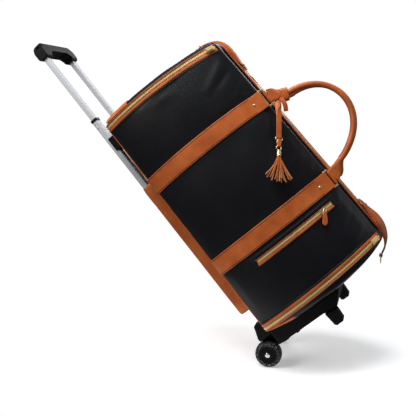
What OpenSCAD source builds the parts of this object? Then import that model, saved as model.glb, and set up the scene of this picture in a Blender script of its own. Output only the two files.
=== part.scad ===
// Rolling garment duffel: a leather duffel bag carried on a two-wheel trolley, standing upright
// on its wheels and front feet. +Z runs up along the trolley tubes, -Y is the side with the carry
// handles and +Y the side with the tubes. The origin is on the floor, under the middle of the plan.

/* [Bag] */
// Place of the flat back panel, measured from the origin
back_y = 181; // [170:1:190]
// From the back panel to the top of the ridge that carries the handles
bag_depth = 299; // [294:1:304]
// How far the ridge leans forwards on its way down, in degrees
ridge_lean = 1.9; // [1:0.1:2.2]
// Radius of each side panel's curve
side_radius = 252; // [246:1:260]
// How far past the middle each side curve has its centre
side_offset = 101; // [96:1:106]
// Radius of the two long corners beside the back panel
corner_radius = 20; // [14:1:26]
// Thickness of leather, padding and lining together
wall = 4; // [3:0.5:5]
// Height of the lower rim, where the lower end zip runs
rim_low = 88; // [86:1:90]
// Height of the upper rim, where the upper end zip runs
rim_high = 643; // [630:1:650]
// How far the domed upper end stands out past its rim
dome_top = 29; // [26:1:34]
// How far the domed lower end stands out past its rim
dome_bottom = 36; // [34:1:38]
// Radius of the domed ends
dome_radius = 600; // [560:10:640]

/* [Leather trim] */
// Width of the straps that wrap the bag
strap_width = 40; // [34:1:44]
// Thickness of a strap
strap_thick = 2.4; // [2:0.1:3]
// Height of the middle of the lower strap
strap_low = 256; // [250:1:262]
// Height of the middle of the upper strap
strap_high = 483; // [478:1:488]
// Width of the tabs that fold over the ridge ends
tab_width = 38; // [30:1:42]

/* [Zips] */
// Width of the row of metal teeth
teeth_width = 7; // [6:0.5:8]
// Width of an end zip with its trim
end_zip_width = 22; // [18:1:24]
// Height of the pocket zip
pocket_z = 213; // [208:1:216]

/* [Carry handles] */
// Radius of the rolled handle's loop, to the middle of the roll
loop_radius = 100; // [96:1:102]
// Radius of the rolled leather
roll_radius = 6.5; // [5.5:0.5:7.5]
// Height of the middle of the loops
loop_z = 369; // [366:1:372]
// From the hinge at the rings to the far end of a loop
handle_reach = 123; // [121:1:126]
// How far the handles lean towards each other
handle_lean = 13; // [11:1:14]

/* [Trolley] */
// Half the distance between the two tubes
tube_x = 66; // [62:1:68]
// Place of the tubes behind the back panel
tube_back = 31.5; // [31:0.5:34]
// Height of the outer tubes' tops
tube_top = 698; // [690:1:704]
// Height of the top of the grip with the trolley drawn out
grip_top = 926; // [915:1:930]
// How far the trolley slides down
tow_travel = 180; // [160:1:182]

/* [Wheels and feet] */
// Radius of a wheel over its tyre
wheel_radius = 30; // [28:1:30]
// Width of a wheel
wheel_width = 24; // [20:1:26]
// Half the distance between the wheels, middle to middle
wheel_x = 83; // [82:1:86]
// From the back panel to the wheels' axle
axle_back = 42; // [41:1:46]
// Half the distance between the feet, middle to middle
foot_x = 100; // [94:1:104]

/* [Hidden] */
$fn = 96;
side_mid_y = back_y - 100.5;
ridge_y = back_y - bag_depth;
corner_y = back_y - corner_radius;
corner_turn = asin((corner_y - side_mid_y) / (side_radius - corner_radius));
corner_x = (side_radius - corner_radius) * cos(corner_turn) - side_offset;
dome_y = back_y - 132;
tape_thick = 1.6;
teeth_top = 3.2;
gap = 0.3;
pocket_start_y = back_y - 281;
pocket_end_y = back_y - 88;
ring_wire = 1.6;
ring_span = 12;
ring_lift = 4.8;
ring_start_y = ridge_y - 2;
ring_turn = asin((ring_start_y - side_mid_y) / side_radius);
hinge_x = (side_radius + ring_lift) * cos(ring_turn) - side_offset + ring_span * sin(ring_turn);
hinge_y = side_mid_y + (side_radius + ring_lift) * sin(ring_turn) - ring_span * cos(ring_turn);
loop_start = handle_reach - loop_radius;
knot_x = 58;
knot_y = back_y - 321;
knot_z = loop_z + 83;
tassel_turn = 40;
tassel_hang = 42;
tube_y = back_y + tube_back;
tube_foot = 142;
outer_tube = [21, 14.5];
outer_bore = [18.2, 11.7];
inner_tube = [17.8, 11.3];
inner_bore = [15.2, 8.7];
inner_foot = tube_top - 62;
grip_foot = grip_top - 42;
sleeve_foot = 134;
sleeve_top = 505;
bracket_foot = 609;
zip_tilt_high = 1.7;
zip_tilt_low = -1.2;
pin_z = inner_foot + 14;
axle_y = back_y + axle_back;
axle_radius = 4;
tray_foot = 36;
tray_half = foot_x + 8;
dome_low_z = rim_low - dome_bottom + dome_radius;
dome_high_z = rim_high + dome_top - dome_radius;

LEATHER = "#1b1b1f";
TAN = "#b45423";
GOLD = "#d8b568";
ALUMINIUM = "#c9cbce";
PLASTIC = "#161618";
LINING = "#6d6a64";
RUBBER = "#232325";

// ---- shared shapes ----

// The bag's outline seen from above, moved inwards by inset; a negative inset moves it outwards
module section(inset = 0) {
  r = side_radius - inset;
  difference() {
    intersection() {
      translate([side_offset, side_mid_y]) circle(r);
      translate([-side_offset, side_mid_y]) circle(r);
      translate([-side_radius, back_y - inset - 400]) square([2 * side_radius, 400]);
    }
    for (s = [-1, 1]) corner_waste(s, corner_radius - inset);
  }
}

// Everything in front of the leaning ridge, moved back by inset
module ridge_waste(inset = 0) {
  ridge_place() translate([-300, inset - 300, -900]) cube([600, 300, 1200]);
}
// The ridge's own place: its +Y points into the bag and +Z runs up the ridge from the upper rim
module ridge_place() {
  translate([0, ridge_y, rim_high]) rotate([-ridge_lean, 0, 0]) children();
}

// What the round long corner cuts away
module corner_waste(s, r) {
  far = 3 * corner_radius;
  translate([s * corner_x, corner_y]) difference() {
    polygon([[0, 0], [0, far], [s * far, far], [s * far * cos(corner_turn), far * sin(corner_turn)]]);
    circle(r);
  }
}

// A band that lies on the bag's outline between two heights over it, and from z0 to z1
module band(low, high, z0, z1) {
  translate([0, 0, z0]) linear_extrude(z1 - z0) difference() {
    section(-high);
    section(-low);
  }
}

// A band on the curved side s only, between two places along y
module side_band(s, low, high, y0, y1, z0, z1) {
  translate([0, 0, z0]) linear_extrude(z1 - z0) intersection() {
    translate([-s * side_offset, side_mid_y]) difference() {
      circle(side_radius + high);
      circle(side_radius + low);
    }
    translate([s > 0 ? 0 : -300, y0]) square([300, y1 - y0]);
  }
}

// Places a piece on side s at y and z, lifted off the leather; its own +X points outwards
module on_side(s, y, z, lift = 0) {
  turn = asin((y - side_mid_y) / side_radius);
  translate([-s * side_offset, side_mid_y, z]) rotate([0, 0, s > 0 ? turn : 180 - turn])
    translate([side_radius + lift, 0, 0]) children();
}

// A rectangle with round corners
module soft_rect(size, r) {
  square([size[0] - 2 * r, size[1]], center = true);
  square([size[0], size[1] - 2 * r], center = true);
  for (x = [-1, 1], y = [-1, 1]) translate([x * (size[0] / 2 - r), y * (size[1] / 2 - r)]) circle(r);
}

// A bar with that outline, standing up from z0 to z1
module soft_bar(size, r, z0, z1) {
  translate([0, 0, z0]) linear_extrude(z1 - z0) soft_rect(size, r);
}

// A rod from point a along the x axis
module rod_x(a, length, r) {
  translate(a) rotate([0, 90, 0]) cylinder(h = length, r = r);
}

// Thickens a line of points on one side by t, for a strap seen edge on
function unit(v) = v / norm(v);
function left_of(v) = [-v[1], v[0]];
function normal_at(path, i) =
  unit(left_of(path[min(i + 1, len(path) - 1)] - path[max(i - 1, 0)]));
function thicken(path, t) = concat(
  path,
  [for (i = [len(path) - 1 : -1 : 0]) path[i] + t * normal_at(path, i)]
);

// A strap that follows points (y, z), centred on x = 0
module ribbon(path, width, t) {
  translate([-width / 2, 0, 0]) rotate([90, 0, 90]) linear_extrude(width) polygon(thicken(path, t));
}

// ---- bag shell ----

module side_panel(s) {
  difference() {
    side_band(s, -wall, 0, ridge_y - 40, corner_y, rim_low, rim_high);
    ridge_waste(wall);
    if (s < 0) side_band(s, -2 * wall, wall, pocket_start_y + 2, pocket_end_y - 2,
      pocket_z - teeth_width / 2, pocket_z + teeth_width / 2);
  }
}
module side_panel_left() {
  color(LEATHER) side_panel(-1);
}
module side_panel_right() {
  color(LEATHER) side_panel(1);
}
module base_panel() {
  color(LEATHER) intersection() {
    band(-wall, 0, rim_low, rim_high);
    translate([-200, corner_y, 0]) cube([400, 100, 1000]);
  }
}

// A domed cup that closes one end of the bag: its skirt starts at the rim
module end_cup(low_z, high_z, centre_z) {
  difference() {
    cup_core(0, low_z, high_z, centre_z);
    cup_core(wall, low_z, high_z, centre_z);
  }
}
module cup_core(inset, low_z, high_z, centre_z) {
  hull() difference() {
    intersection() {
      translate([0, 0, low_z]) linear_extrude(high_z - low_z) section(inset);
      translate([0, dome_y, centre_z]) rotate([90, 0, 0]) sphere(dome_radius - inset, $fn = 144);
    }
    ridge_waste(inset);
  }
}
module end_panel_top() {
  color(LEATHER) end_cup(rim_high, rim_high + 2 * dome_top, dome_high_z);
}
module end_panel_bottom() {
  color(LEATHER) end_cup(rim_low - 2 * dome_bottom, rim_low, dome_low_z);
}

// The two halves of the flat ridge, either side of its zip
module gusset(s) {
  slit = teeth_width / 2;
  intersection() {
    translate([0, 0, rim_low]) linear_extrude(rim_high - rim_low) section(0);
    ridge_place() translate([s > 0 ? slit : -80, 0, -700]) cube([80 - slit, wall, 800]);
  }
}
module gusset_left() {
  color(LEATHER) gusset(-1);
}
module gusset_right() {
  color(LEATHER) gusset(1);
}

// Flat lining bag behind the pocket zip
module pocket_pouch() {
  color(LINING) side_band(-1, -wall - 2.4, -wall, pocket_start_y, pocket_end_y,
    pocket_z - 100, pocket_z + 10);
}
// Raised welt over the pocket zip
module pocket_welt() {
  color(LEATHER) side_band(-1, 0, 2.6, pocket_start_y - 8, pocket_end_y + 8,
    pocket_z + 10, pocket_z + 15);
}

// ---- tan leather trim ----

// Where a strap lies: all the way from the ring to the edge of the trolley sleeve
module straps(s) {
  for (z = [strap_low, strap_high]) {
    edge = strap_width / 2;
    side_band(s, 0, strap_thick, ring_start_y + 4, corner_y, z - edge, z + edge);
    intersection() {
      band(0, strap_thick, z - edge, z + edge);
      translate([s > 0 ? tube_x + 13 : -300, corner_y, 0]) cube([300 - tube_x - 13, 100, 1000]);
    }
    strap_fold(s, z);
  }
}
// The end of the strap, folded round the ring's inner bar
module strap_fold(s, z) {
  on_side(s, ring_start_y, z, ring_lift) difference() {
    union() {
      translate([0, 0, -15]) cylinder(h = 30, r = ring_wire + 2.4);
      translate([-ring_lift, s > 0 ? 0 : -9, -15]) cube([ring_lift - ring_wire, 9, 30]);
    }
    translate([0, 0, -16]) cylinder(h = 32, r = ring_wire);
    translate([-ring_lift - 20, -40, -20]) cube([20, 80, 40]);
  }
}
module straps_left() {
  color(TAN) straps(-1);
}
module straps_right() {
  color(TAN) straps(1);
}

// Leather patches over the back corners of both ends
module end_patches() {
  color(TAN) for (top = [0, 1]) intersection() {
    difference() {
      translate([0, dome_y, top ? dome_high_z : dome_low_z]) sphere(dome_radius + 1.8, $fn = 360);
      translate([0, dome_y, top ? dome_high_z : dome_low_z]) sphere(dome_radius, $fn = 360);
      if (!top) translate([-tray_half - 0.4, 0, 0]) cube([2 * tray_half + 0.8, 300, rim_low]);
    }
    translate([-122, back_y - 76, top ? rim_high + 3 : 0]) cube([244, 75, top ? 100 : rim_low - 3]);
  }
}

// Thin piping down the seam beside the back panel, broken where the straps cross it
module edge_piping() {
  half = strap_width / 2;
  stretches = [
    [rim_low + end_zip_width / 2, strap_low - half],
    [strap_low + half, strap_high - half],
    [strap_high + half, rim_high - end_zip_width / 2]
  ];
  color(TAN) for (s = [-1, 1], part = stretches)
    on_side(s, corner_y, part[0], 2.1) cylinder(h = part[1] - part[0], r = 2);
}

// Paths (y, z) of the tabs' inner faces over the ridge ends
tab_top_path = [
  [ridge_y - 3.8, 566], [ridge_y - 4.4, 598], [ridge_y - 6, 622], [ridge_y - 4.6, 641],
  [ridge_y + 3, 657], [ridge_y + 20, 665], [ridge_y + 38, 672]
];
tab_low_path = [
  [ridge_y - 17.4, 180], [ridge_y - 20, 166], [ridge_y - 25, 150], [ridge_y - 31, 127],
  [ridge_y - 29, 102], [ridge_y - 18, 78], [ridge_y, 61], [ridge_y + 13, 53]
];
tab_top_tip = [ridge_y + 41, 674];
tab_low_tip = [ridge_y + 16, 49.5];
module end_tab(path, t, tip) {
  difference() {
    union() {
      ribbon(path, tab_width, t);
      rod_x([-9, tip[0], tip[1]], 18, 3.6);
    }
    rod_x([-10, tip[0], tip[1]], 20, 1.6);
  }
}
module end_tab_top() {
  color(TAN) end_tab(tab_top_path, 3, tab_top_tip);
}
module end_tab_bottom() {
  color(TAN) end_tab(tab_low_path, -3, tab_low_tip);
}

// Domed rivets: one on each strap end, one on each end tab
module rivets() {
  color(GOLD) {
    for (s = [-1, 1], z = [strap_low, strap_high])
      on_side(s, ridge_y + 18, z, strap_thick) rotate([0, 90, 0]) rivet_head();
    translate([0, ridge_y - 7.3, 580]) rotate([91, 0, 0]) rivet_head();
    translate([0, ridge_y - 25, 161]) rotate([72.7, 0, 0]) rivet_head();
  }
}
module rivet_head() {
  cylinder(h = 0.8, r = 3.5);
  cylinder(h = 1.6, r = 2.4);
}

// A D-ring: a straight bar along x in the tab's fold, and a round bow that hangs from it
module d_ring(tip, hang) {
  wire = 1.3;
  bow = 9;
  translate([0, tip[0], tip[1]]) rotate([hang, 0, 0]) {
    rod_x([-bow - 2.2, 0, 0], 2 * bow + 4.4, wire);
    for (s = [-1, 1]) translate([s * (bow + 2.2), 0, -6]) cylinder(h = 6, r = wire);
    for (s = [-1, 1]) translate([s * (bow + 2.2), 0, 0]) sphere(wire);
    translate([0, 0, -6]) rotate([90, 0, 0]) rotate([0, 0, 180]) rotate_extrude(angle = 180)
      translate([bow + 2.2, 0]) circle(wire);
  }
}
module d_ring_top() {
  color(GOLD) d_ring(tab_top_tip, 95);
}
module d_ring_bottom() {
  color(GOLD) d_ring(tab_low_tip, 40);
}

// ---- zips ----

// Tilts a piece of an end zip with its rim: the zips climb a little towards the back panel. The tapes
// stay 0.4 mm off the leather, which the tilt needs
module zip_place(top) {
  z = top ? rim_high + 2 : rim_low;
  translate([0, side_mid_y, z]) rotate([top ? zip_tilt_high : zip_tilt_low, 0, 0])
    translate([0, -side_mid_y, 0]) children();
}
module end_zip_tapes() {
  half = end_zip_width / 2;
  color(TAN) for (s = [-1, 1], top = [0, 1]) zip_place(top)
    side_band(s, 0.4, tape_thick, end_zip_start(top), corner_y, -half, half);
}
module end_zip_teeth() {
  half = teeth_width / 2;
  color(GOLD) for (s = [-1, 1], top = [0, 1]) zip_place(top)
    side_band(s, tape_thick, teeth_top, end_zip_start(top) + 2, corner_y, -half, half);
}
function end_zip_start(top) = ridge_y + (top ? 3 : -15);

// The long zip up the ridge
ridge_zip_low = -450;
ridge_zip_high = -84;
module ridge_zip_tape() {
  color(TAN) ridge_place() translate([-11, -tape_thick, ridge_zip_low])
    cube([22, tape_thick, ridge_zip_high - ridge_zip_low]);
}
module ridge_zip_teeth() {
  color(GOLD) ridge_place() translate([-teeth_width / 2, -teeth_top, ridge_zip_low + 4])
    cube([teeth_width, teeth_top - tape_thick, ridge_zip_high - ridge_zip_low - 8]);
}

// The pocket zip on the left side
module pocket_zip_tape() {
  color(TAN) side_band(-1, 0, tape_thick, pocket_start_y, pocket_end_y, pocket_z - 9, pocket_z + 9);
}
module pocket_zip_teeth() {
  color(GOLD) side_band(-1, tape_thick, teeth_top, pocket_start_y + 4, pocket_end_y - 4,
    pocket_z - teeth_width / 2, pocket_z + teeth_width / 2);
}

// A slider straddles the teeth; its length runs along the curve, for side s
slider_length = 14;
module slider(s, y, z) {
  half = slider_length / 2;
  channel = teeth_width / 2 + gap;
  color(GOLD) {
    difference() {
      side_band(s, tape_thick + gap, teeth_top + 3, y - half, y + half, z - 5.5, z + 5.5);
      side_band(s, 0, teeth_top + gap, y - 2 * half, y + 2 * half, z - channel, z + channel);
    }
    on_side(s, y, z, teeth_top + 2.5) rotate([0, 90, 0]) cylinder(h = 2.5, r = 2);
  }
}
// A short metal pull that is one piece with its slider and lies along the teeth
module slider_lug(s, y, z) {
  color(GOLD) on_side(s, y, z, teeth_top + 4) translate([0, s > 0 ? 0 : -16, -2.5]) cube([1.6, 16, 5]);
}
module end_slider(s, top) {
  y = end_zip_start(top) + 12;
  zip_place(top) {
    slider(s, y, 0);
    slider_lug(s, y, 0);
  }
}
module slider_top_left() {
  end_slider(-1, 1);
}
module slider_top_right() {
  end_slider(1, 1);
}
module slider_bottom_left() {
  end_slider(-1, 0);
}
module slider_bottom_right() {
  end_slider(1, 0);
}

module ridge_slider() {
  color(GOLD) ridge_place() translate([0, 0, ridge_zip_high - 14]) {
    difference() {
      translate([-5.5, -teeth_top - 3, -7]) cube([11, teeth_top + 3 - tape_thick - gap, 14]);
      translate([-teeth_width / 2 - gap, -teeth_top - gap, -8])
        cube([teeth_width + 2 * gap, teeth_top + gap, 16]);
    }
    translate([-3, -teeth_top - 4.4, -18]) cube([6, 1.6, 20]);
  }
}

pocket_slider_y = pocket_start_y + 20;
module pocket_slider() {
  slider(-1, pocket_slider_y, pocket_z);
}
// Leather pull on the slider's post, hanging down and back
module pocket_pull() {
  color(TAN) on_side(-1, pocket_slider_y, pocket_z, teeth_top + 3.3) rotate([-44, 0, 0]) difference() {
    translate([0, -6, -35]) cube([1.5, 12, 39]);
    translate([-1, 0, 0]) rotate([0, 90, 0]) cylinder(h = 4, r = 2.4);
  }
}

// ---- carry handles ----

// Rectangular rings at the strap ends; a handle turns on each outer bar
module handle_rings() {
  color(GOLD) for (s = [-1, 1], z = [strap_low, strap_high])
    on_side(s, ring_start_y, z, ring_lift) {
      for (far = [0, 1]) translate([0, -s * far * ring_span, -20]) cylinder(h = 40, r = ring_wire);
      for (end = [-20, 20]) translate([0, s > 0 ? -ring_span : 0, end])
        rotate([-90, 0, 0]) cylinder(h = ring_span, r = ring_wire);
      for (far = [0, 1], end = [-20, 20]) translate([0, -s * far * ring_span, end]) sphere(ring_wire);
    }
}

// A handle in its own place: hinge along z, the loop pointing to -y, leaning inwards
module handle_place(s) {
  translate([s * hinge_x, hinge_y, 0]) rotate([0, 0, -s * handle_lean]) children();
}
// The flat leather end that folds round the ring and narrows to the roll
module chape(ring_z, roll_z) {
  difference() {
    union() {
      translate([0, 0, ring_z - 15]) cylinder(h = 30, r = ring_wire + gap + 2.2);
      translate([-2.5, 0, 0]) rotate([90, 0, 90]) linear_extrude(5)
        polygon([
          [-1, ring_z - 15], [-1, ring_z + 15],
          [-loop_start - 4, roll_z + 6], [-loop_start - 4, roll_z - 6]
        ]);
    }
    translate([0, 0, ring_z - 22]) cylinder(h = 44, r = ring_wire + gap);
  }
}
module handle(s) {
  handle_place(s) {
    translate([0, -loop_start, loop_z]) rotate([0, 90, 0]) rotate([0, 0, 180])
      rotate_extrude(angle = 180) translate([loop_radius, 0]) circle(roll_radius);
    chape(strap_low, loop_z - loop_radius);
    chape(strap_high, loop_z + loop_radius);
  }
}
module handle_left() {
  color(TAN) handle(-1);
}
module handle_right() {
  color(TAN) handle(1);
}
// The band that ties the tassel to the left handle
module handle_keeper() {
  color(TAN) difference() {
    handle_place(-1) translate([-8, -27, loop_z + loop_radius - 13]) cube([16, 18, 30]);
    handle(-1);
  }
}

// ---- tassel ----

// The tassel's place: its own +X points away from the bag and -Z is the way it hangs
module tassel_place() {
  translate([-knot_x, knot_y, knot_z]) rotate([0, 0, 180 + tassel_turn])
    rotate([-tassel_hang, 0, 0]) children();
}
// The short knot under the keeper, with the post that carries the tassel
module tassel_knot() {
  color(TAN) translate([-knot_x, knot_y, knot_z - 3]) cylinder(h = 8, r = 3);
  color(TAN) tassel_place() rotate([0, 90, 0]) cylinder(h = 6, r = 1.2);
}
module tassel_strap() {
  color(TAN) tassel_place() difference() {
    union() {
      translate([3.6, -6, -73.8]) cube([2, 12, 73.8]);
      translate([3.6, 0, 0]) rotate([0, 90, 0]) cylinder(h = 2, r = 6);
      translate([3.6, -4.5, -94.5]) cube([2, 9, 5.4]);
    }
    translate([-1, 0, 0]) rotate([0, 90, 0]) cylinder(h = 12, r = 1.5);
  }
}
// The buckle that joins the strap to the cap
module tassel_buckle() {
  color(GOLD) tassel_place() {
    translate([4.6, 0, -81.5]) rotate([0, 90, 0]) rotate_extrude() translate([6.2, 0]) circle(1.2);
    translate([4.6, 0, -101]) rotate([0, 90, 0]) rotate_extrude() translate([5, 0]) circle(1.2);
  }
}
module tassel_cap() {
  color(GOLD) tassel_place() translate([4.6, 0, 0]) {
    translate([0, 0, -122]) cylinder(h = 14.6, r = 5);
  }
}
// Thin leather strips that spread below the cap
strip_length = 56;
strip_turns = [-30, -21, -13, -6, 0, 6, 12, 19, 26];
module tassel_fringe() {
  color(TAN) tassel_place() translate([4.6, 0, -122.3]) {
    for (i = [0 : len(strip_turns) - 1]) rotate([strip_turns[i], 0, 0])
      translate([i % 2 - 1.2, -1.3, -strip_length]) cube([1.4, 2.6, strip_length]);
    translate([0, 0, -5]) cylinder(h = 5, r = 3.4);
  }
}

// ---- trolley ----

// Leather-covered housing that holds the outer tubes against the back panel
module trolley_sleeve() {
  depth = tube_back + outer_tube[1] / 2 + 1.5;
  height = sleeve_top - sleeve_foot;
  color(TAN) difference() {
    translate([0, back_y, sleeve_foot]) rotate([-90, 0, 0]) linear_extrude(depth)
      translate([0, -height / 2]) soft_rect([2 * tube_x + 24, height], 10);
    for (s = [-1, 1]) translate([s * tube_x, tube_y, 0])
      soft_bar(outer_tube, 3, tube_foot, sleeve_top + 1);
    translate([-tube_x + 16, back_y + 4, sleeve_foot + 6])
      cube([2 * tube_x - 32, depth - 8, height - 12]);
  }
}
module top_bracket() {
  color(PLASTIC) difference() {
    translate([-tube_x - 13, back_y, bracket_foot]) cube([2 * tube_x + 26, tube_back, 34]);
    for (s = [-1, 1]) translate([s * tube_x, tube_y, 0]) soft_bar(outer_tube, 3, tube_foot, tube_top);
    translate([-tube_x + 22, back_y + 5, bracket_foot - 1]) cube([2 * tube_x - 44, tube_back, 36]);
  }
}
module outer_tubes() {
  color(ALUMINIUM) for (s = [-1, 1]) difference() {
    translate([s * tube_x, tube_y, 0]) soft_bar(outer_tube, 3, tube_foot, tube_top);
    translate([s * tube_x, tube_y, 0]) soft_bar(outer_bore, 2, tube_foot + 3, tube_top + 1);
    for (z = [tube_top - 10, tube_top - 22]) rod_x([s * tube_x - 20, tube_y + 3, z], 40, 1.6);
  }
}
module tube_collars() {
  color(PLASTIC) for (s = [-1, 1]) difference() {
    translate([s * tube_x, tube_y, 0]) soft_bar([23.6, 17], 4, tube_top - 3, tube_top + 3.5);
    translate([s * tube_x, tube_y, 0]) soft_bar(outer_tube, 3, tube_top - 4, tube_top);
    translate([s * tube_x, tube_y, 0]) soft_bar(outer_bore, 2, tube_top - 4, tube_top + 5);
  }
}
module inner_tubes() {
  color(ALUMINIUM) for (s = [-1, 1]) difference() {
    translate([s * tube_x, tube_y, 0]) soft_bar(inner_tube, 2, inner_foot, grip_top - 20);
    translate([s * tube_x, tube_y, 0]) soft_bar(inner_bore, 1.2, inner_foot - 1, grip_top - 19);
    translate([s * (tube_x + 7), tube_y, pin_z]) rotate([0, 90, 0]) cylinder(h = 8, r = 2.6, center = true);
  }
}

// The moulded grip, hollow for the button's linkage
module grip() {
  half = tube_x + 14;
  color(PLASTIC) difference() {
    intersection() {
      translate([0, tube_y + 13.5, 0]) rotate([90, 0, 0]) linear_extrude(27) grip_outline(half);
      rotate([90, 0, 90]) translate([tube_y, (grip_top + grip_foot) / 2, -half]) linear_extrude(2 * half)
        soft_rect([27, grip_top - grip_foot], 8);
    }
    for (s = [-1, 1]) translate([s * tube_x, tube_y, 0])
      soft_bar(inner_tube, 2, grip_foot - 1, grip_top - 20);
    translate([-tube_x - 8, tube_y - 5, grip_top - 20]) cube([2 * tube_x + 16, 10, 13]);
    translate([0, tube_y, 0]) soft_bar([42.8, 12.8], 4, grip_top - 16.4, grip_top + 2);
  }
}
module grip_outline(half) {
  polygon([
    [-half, grip_foot], [-half, grip_top - 18], [-half + 14, grip_top], [half - 14, grip_top],
    [half, grip_top - 18], [half, grip_foot], [half - 28, grip_foot], [half - 30, grip_foot + 10],
    [half - 42, grip_top - 25], [-half + 42, grip_top - 25],
    [-half + 30, grip_foot + 10], [-half + 28, grip_foot]
  ]);
}
module release_button() {
  color(PLASTIC) translate([0, tube_y, 0]) {
    soft_bar([42, 12], 3.6, grip_top - 11, grip_top + 3);
  }
}
// The bar under the button and the two rods that run down inside the inner tubes
module push_rods() {
  color(ALUMINIUM) {
    translate([-tube_x - 3, tube_y - 3, grip_top - 14]) cube([2 * tube_x + 6, 6, 3]);
    for (s = [-1, 1]) translate([s * tube_x, tube_y, pin_z - 8])
      cylinder(h = grip_top - 14 - pin_z + 8, r = 1.5);
  }
}
// The return spring under the bar: a coil drawn as a thin sleeve
module button_spring() {
  color(ALUMINIUM) translate([0, tube_y, grip_top - 20]) difference() {
    cylinder(h = 6, r = 3.5);
    translate([0, 0, -1]) cylinder(h = 8, r = 2.5);
  }
}
// A lock pin crosses its inner tube and is pierced by the push rod
module lock_pin(s) {
  color(ALUMINIUM) translate([s * (tube_x + 8.9), tube_y, pin_z]) difference() {
    rotate([0, -s * 90, 0]) cylinder(h = 13.5, r = 2.5);
    translate([-s * 8.3 - 4.5, -1.8, -4]) cube([9, 3.6, 8]);
  }
}
module lock_pin_left() {
  lock_pin(-1);
}
module lock_pin_right() {
  lock_pin(1);
}

// ---- base, wheels and feet ----

// Ribbed plastic tray that carries the bag's lower end
module base_tray() {
  color(PLASTIC) difference() {
    union() {
      translate([-tray_half, 0, 0]) rotate([90, 0, 90]) linear_extrude(2 * tray_half) polygon([
        [back_y, tray_foot], [back_y - 121, tray_foot], [back_y - 154, tray_foot - 6], [back_y - 181, 58],
        [back_y - 181, 90], [back_y, 90]
      ]);
      translate([-26, back_y - 87, 22]) cube([52, 18, 20]);
      translate([-60, back_y - 41, 25]) cube([120, 9, 20]);
    }
    translate([0, dome_y, dome_low_z]) sphere(dome_radius + 0.1, $fn = 360);
    for (i = [-2 : 2]) translate([i * 40 - 17, back_y - 126, 29]) tray_pocket();
  }
}
// One of the hollows between the tray's ribs
module tray_pocket() {
  translate([0, 62, 0]) cube([34, 18, 14]);
  cube([34, 36, 14]);
  translate([0, 100, 0]) cube([34, 20, 14]);
}

module front_feet() {
  heel = back_y - 128;
  color(PLASTIC) for (s = [-1, 1]) translate([s * foot_x - 12, 0, 0]) rotate([90, 0, 90]) linear_extrude(24)
    polygon([
      [heel - 26, tray_foot - 6.4], [heel - 24, 4], [heel - 20, 0], [heel - 4, 0], [heel, 4],
      [heel + 3, tray_foot - 1.2]
    ]);
}

// Arms that reach back from the tray, over the wheels and down to the axles
module wheel_arms() {
  color(PLASTIC) for (s = [-1, 1]) {
    translate([s > 0 ? 60 : -96, 0, 0]) rotate([90, 0, 90]) linear_extrude(36) polygon([
      [back_y, 66], [back_y, 90], [back_y + 7, 100], [back_y + 27, 100], [back_y + 31, 88],
      [back_y + 38, 70], [back_y + 36, 62.5]
    ]);
    difference() {
      translate([s > 0 ? 60 : -70, 0, 0]) rotate([90, 0, 90]) linear_extrude(10) union() {
        polygon([
          [back_y, tray_foot], [back_y, 88], [back_y + 37, 70], [axle_y + 9, 34], [axle_y, 20]
        ]);
        translate([axle_y, wheel_radius]) circle(11);
      }
      rod_x([-120, axle_y, wheel_radius], 240, axle_radius);
    }
  }
}

// Axle pins fixed in the arms, each with a round cap that keeps its wheel on
module axles() {
  color("silver") for (s = [-1, 1]) {
    rod_x([s > 0 ? 56 : -96, axle_y, wheel_radius], 40, axle_radius);
    rod_x([s > 0 ? 95.4 : -98.4, axle_y, wheel_radius], 3, 5.4);
    rod_x([s > 0 ? 56 : -60, axle_y, wheel_radius], 4, 6);
  }
}

// Moulded wheel centre with a ring of spokes on its outer face
spoke_count = 14;
module wheel(s) {
  half = wheel_width / 2;
  color(PLASTIC) translate([s * wheel_x, axle_y, wheel_radius]) rotate([0, s * 90, 0]) difference() {
    translate([0, 0, -half]) cylinder(h = wheel_width - 0.6, r = 21);
    translate([0, 0, -half - 1]) cylinder(h = wheel_width + 2, r = axle_radius + 0.05);
    for (i = [0 : spoke_count - 1]) rotate([0, 0, i * 360 / spoke_count])
      translate([12.5, 0, half - 5]) linear_extrude(6) polygon([[-5, -0.7], [-5, 0.7], [5, 2.6], [5, -2.6]]);
  }
}
module tyre(s) {
  half = wheel_width / 2;
  color(RUBBER) translate([s * wheel_x, axle_y, wheel_radius]) rotate([0, s * 90, 0])
    rotate_extrude() polygon([
    [21, -half], [27.5, -half], [wheel_radius, -half + 3], [wheel_radius, half - 3], [27.5, half], [21, half]
  ]);
}
module wheel_left() {
  wheel(-1);
}
module wheel_right() {
  wheel(1);
}
module tyre_left() {
  tyre(-1);
}
module tyre_right() {
  tyre(1);
}

side_panel_left();
side_panel_right();
base_panel();
end_panel_top();
end_panel_bottom();
gusset_left();
gusset_right();
pocket_pouch();
pocket_welt();
straps_left();
straps_right();
end_patches();
edge_piping();
rivets();
end_tab_top();
end_tab_bottom();
d_ring_top();
d_ring_bottom();
end_zip_tapes();
end_zip_teeth();
ridge_zip_tape();
ridge_zip_teeth();
pocket_zip_tape();
pocket_zip_teeth();
slider_top_left();
slider_top_right();
slider_bottom_left();
slider_bottom_right();
ridge_slider();
pocket_slider();
pocket_pull();
handle_rings();
handle_left();
handle_right();
handle_keeper();
tassel_knot();
tassel_strap();
tassel_buckle();
tassel_cap();
tassel_fringe();
trolley_sleeve();
top_bracket();
outer_tubes();
tube_collars();
inner_tubes();
grip();
release_button();
push_rods();
button_spring();
lock_pin_left();
lock_pin_right();
base_tray();
front_feet();
wheel_arms();
axles();
wheel_left();
tyre_left();
wheel_right();
tyre_right();
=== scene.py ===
"""A leather garment duffel on a two-wheel trolley, standing upright on its wheels and feet.

Shapes are worked out in millimetres in the CAD frame and written to meshes in metres.
"""

import math

import bmesh
import bpy
import numpy as np
from mathutils import Matrix, Vector


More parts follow.
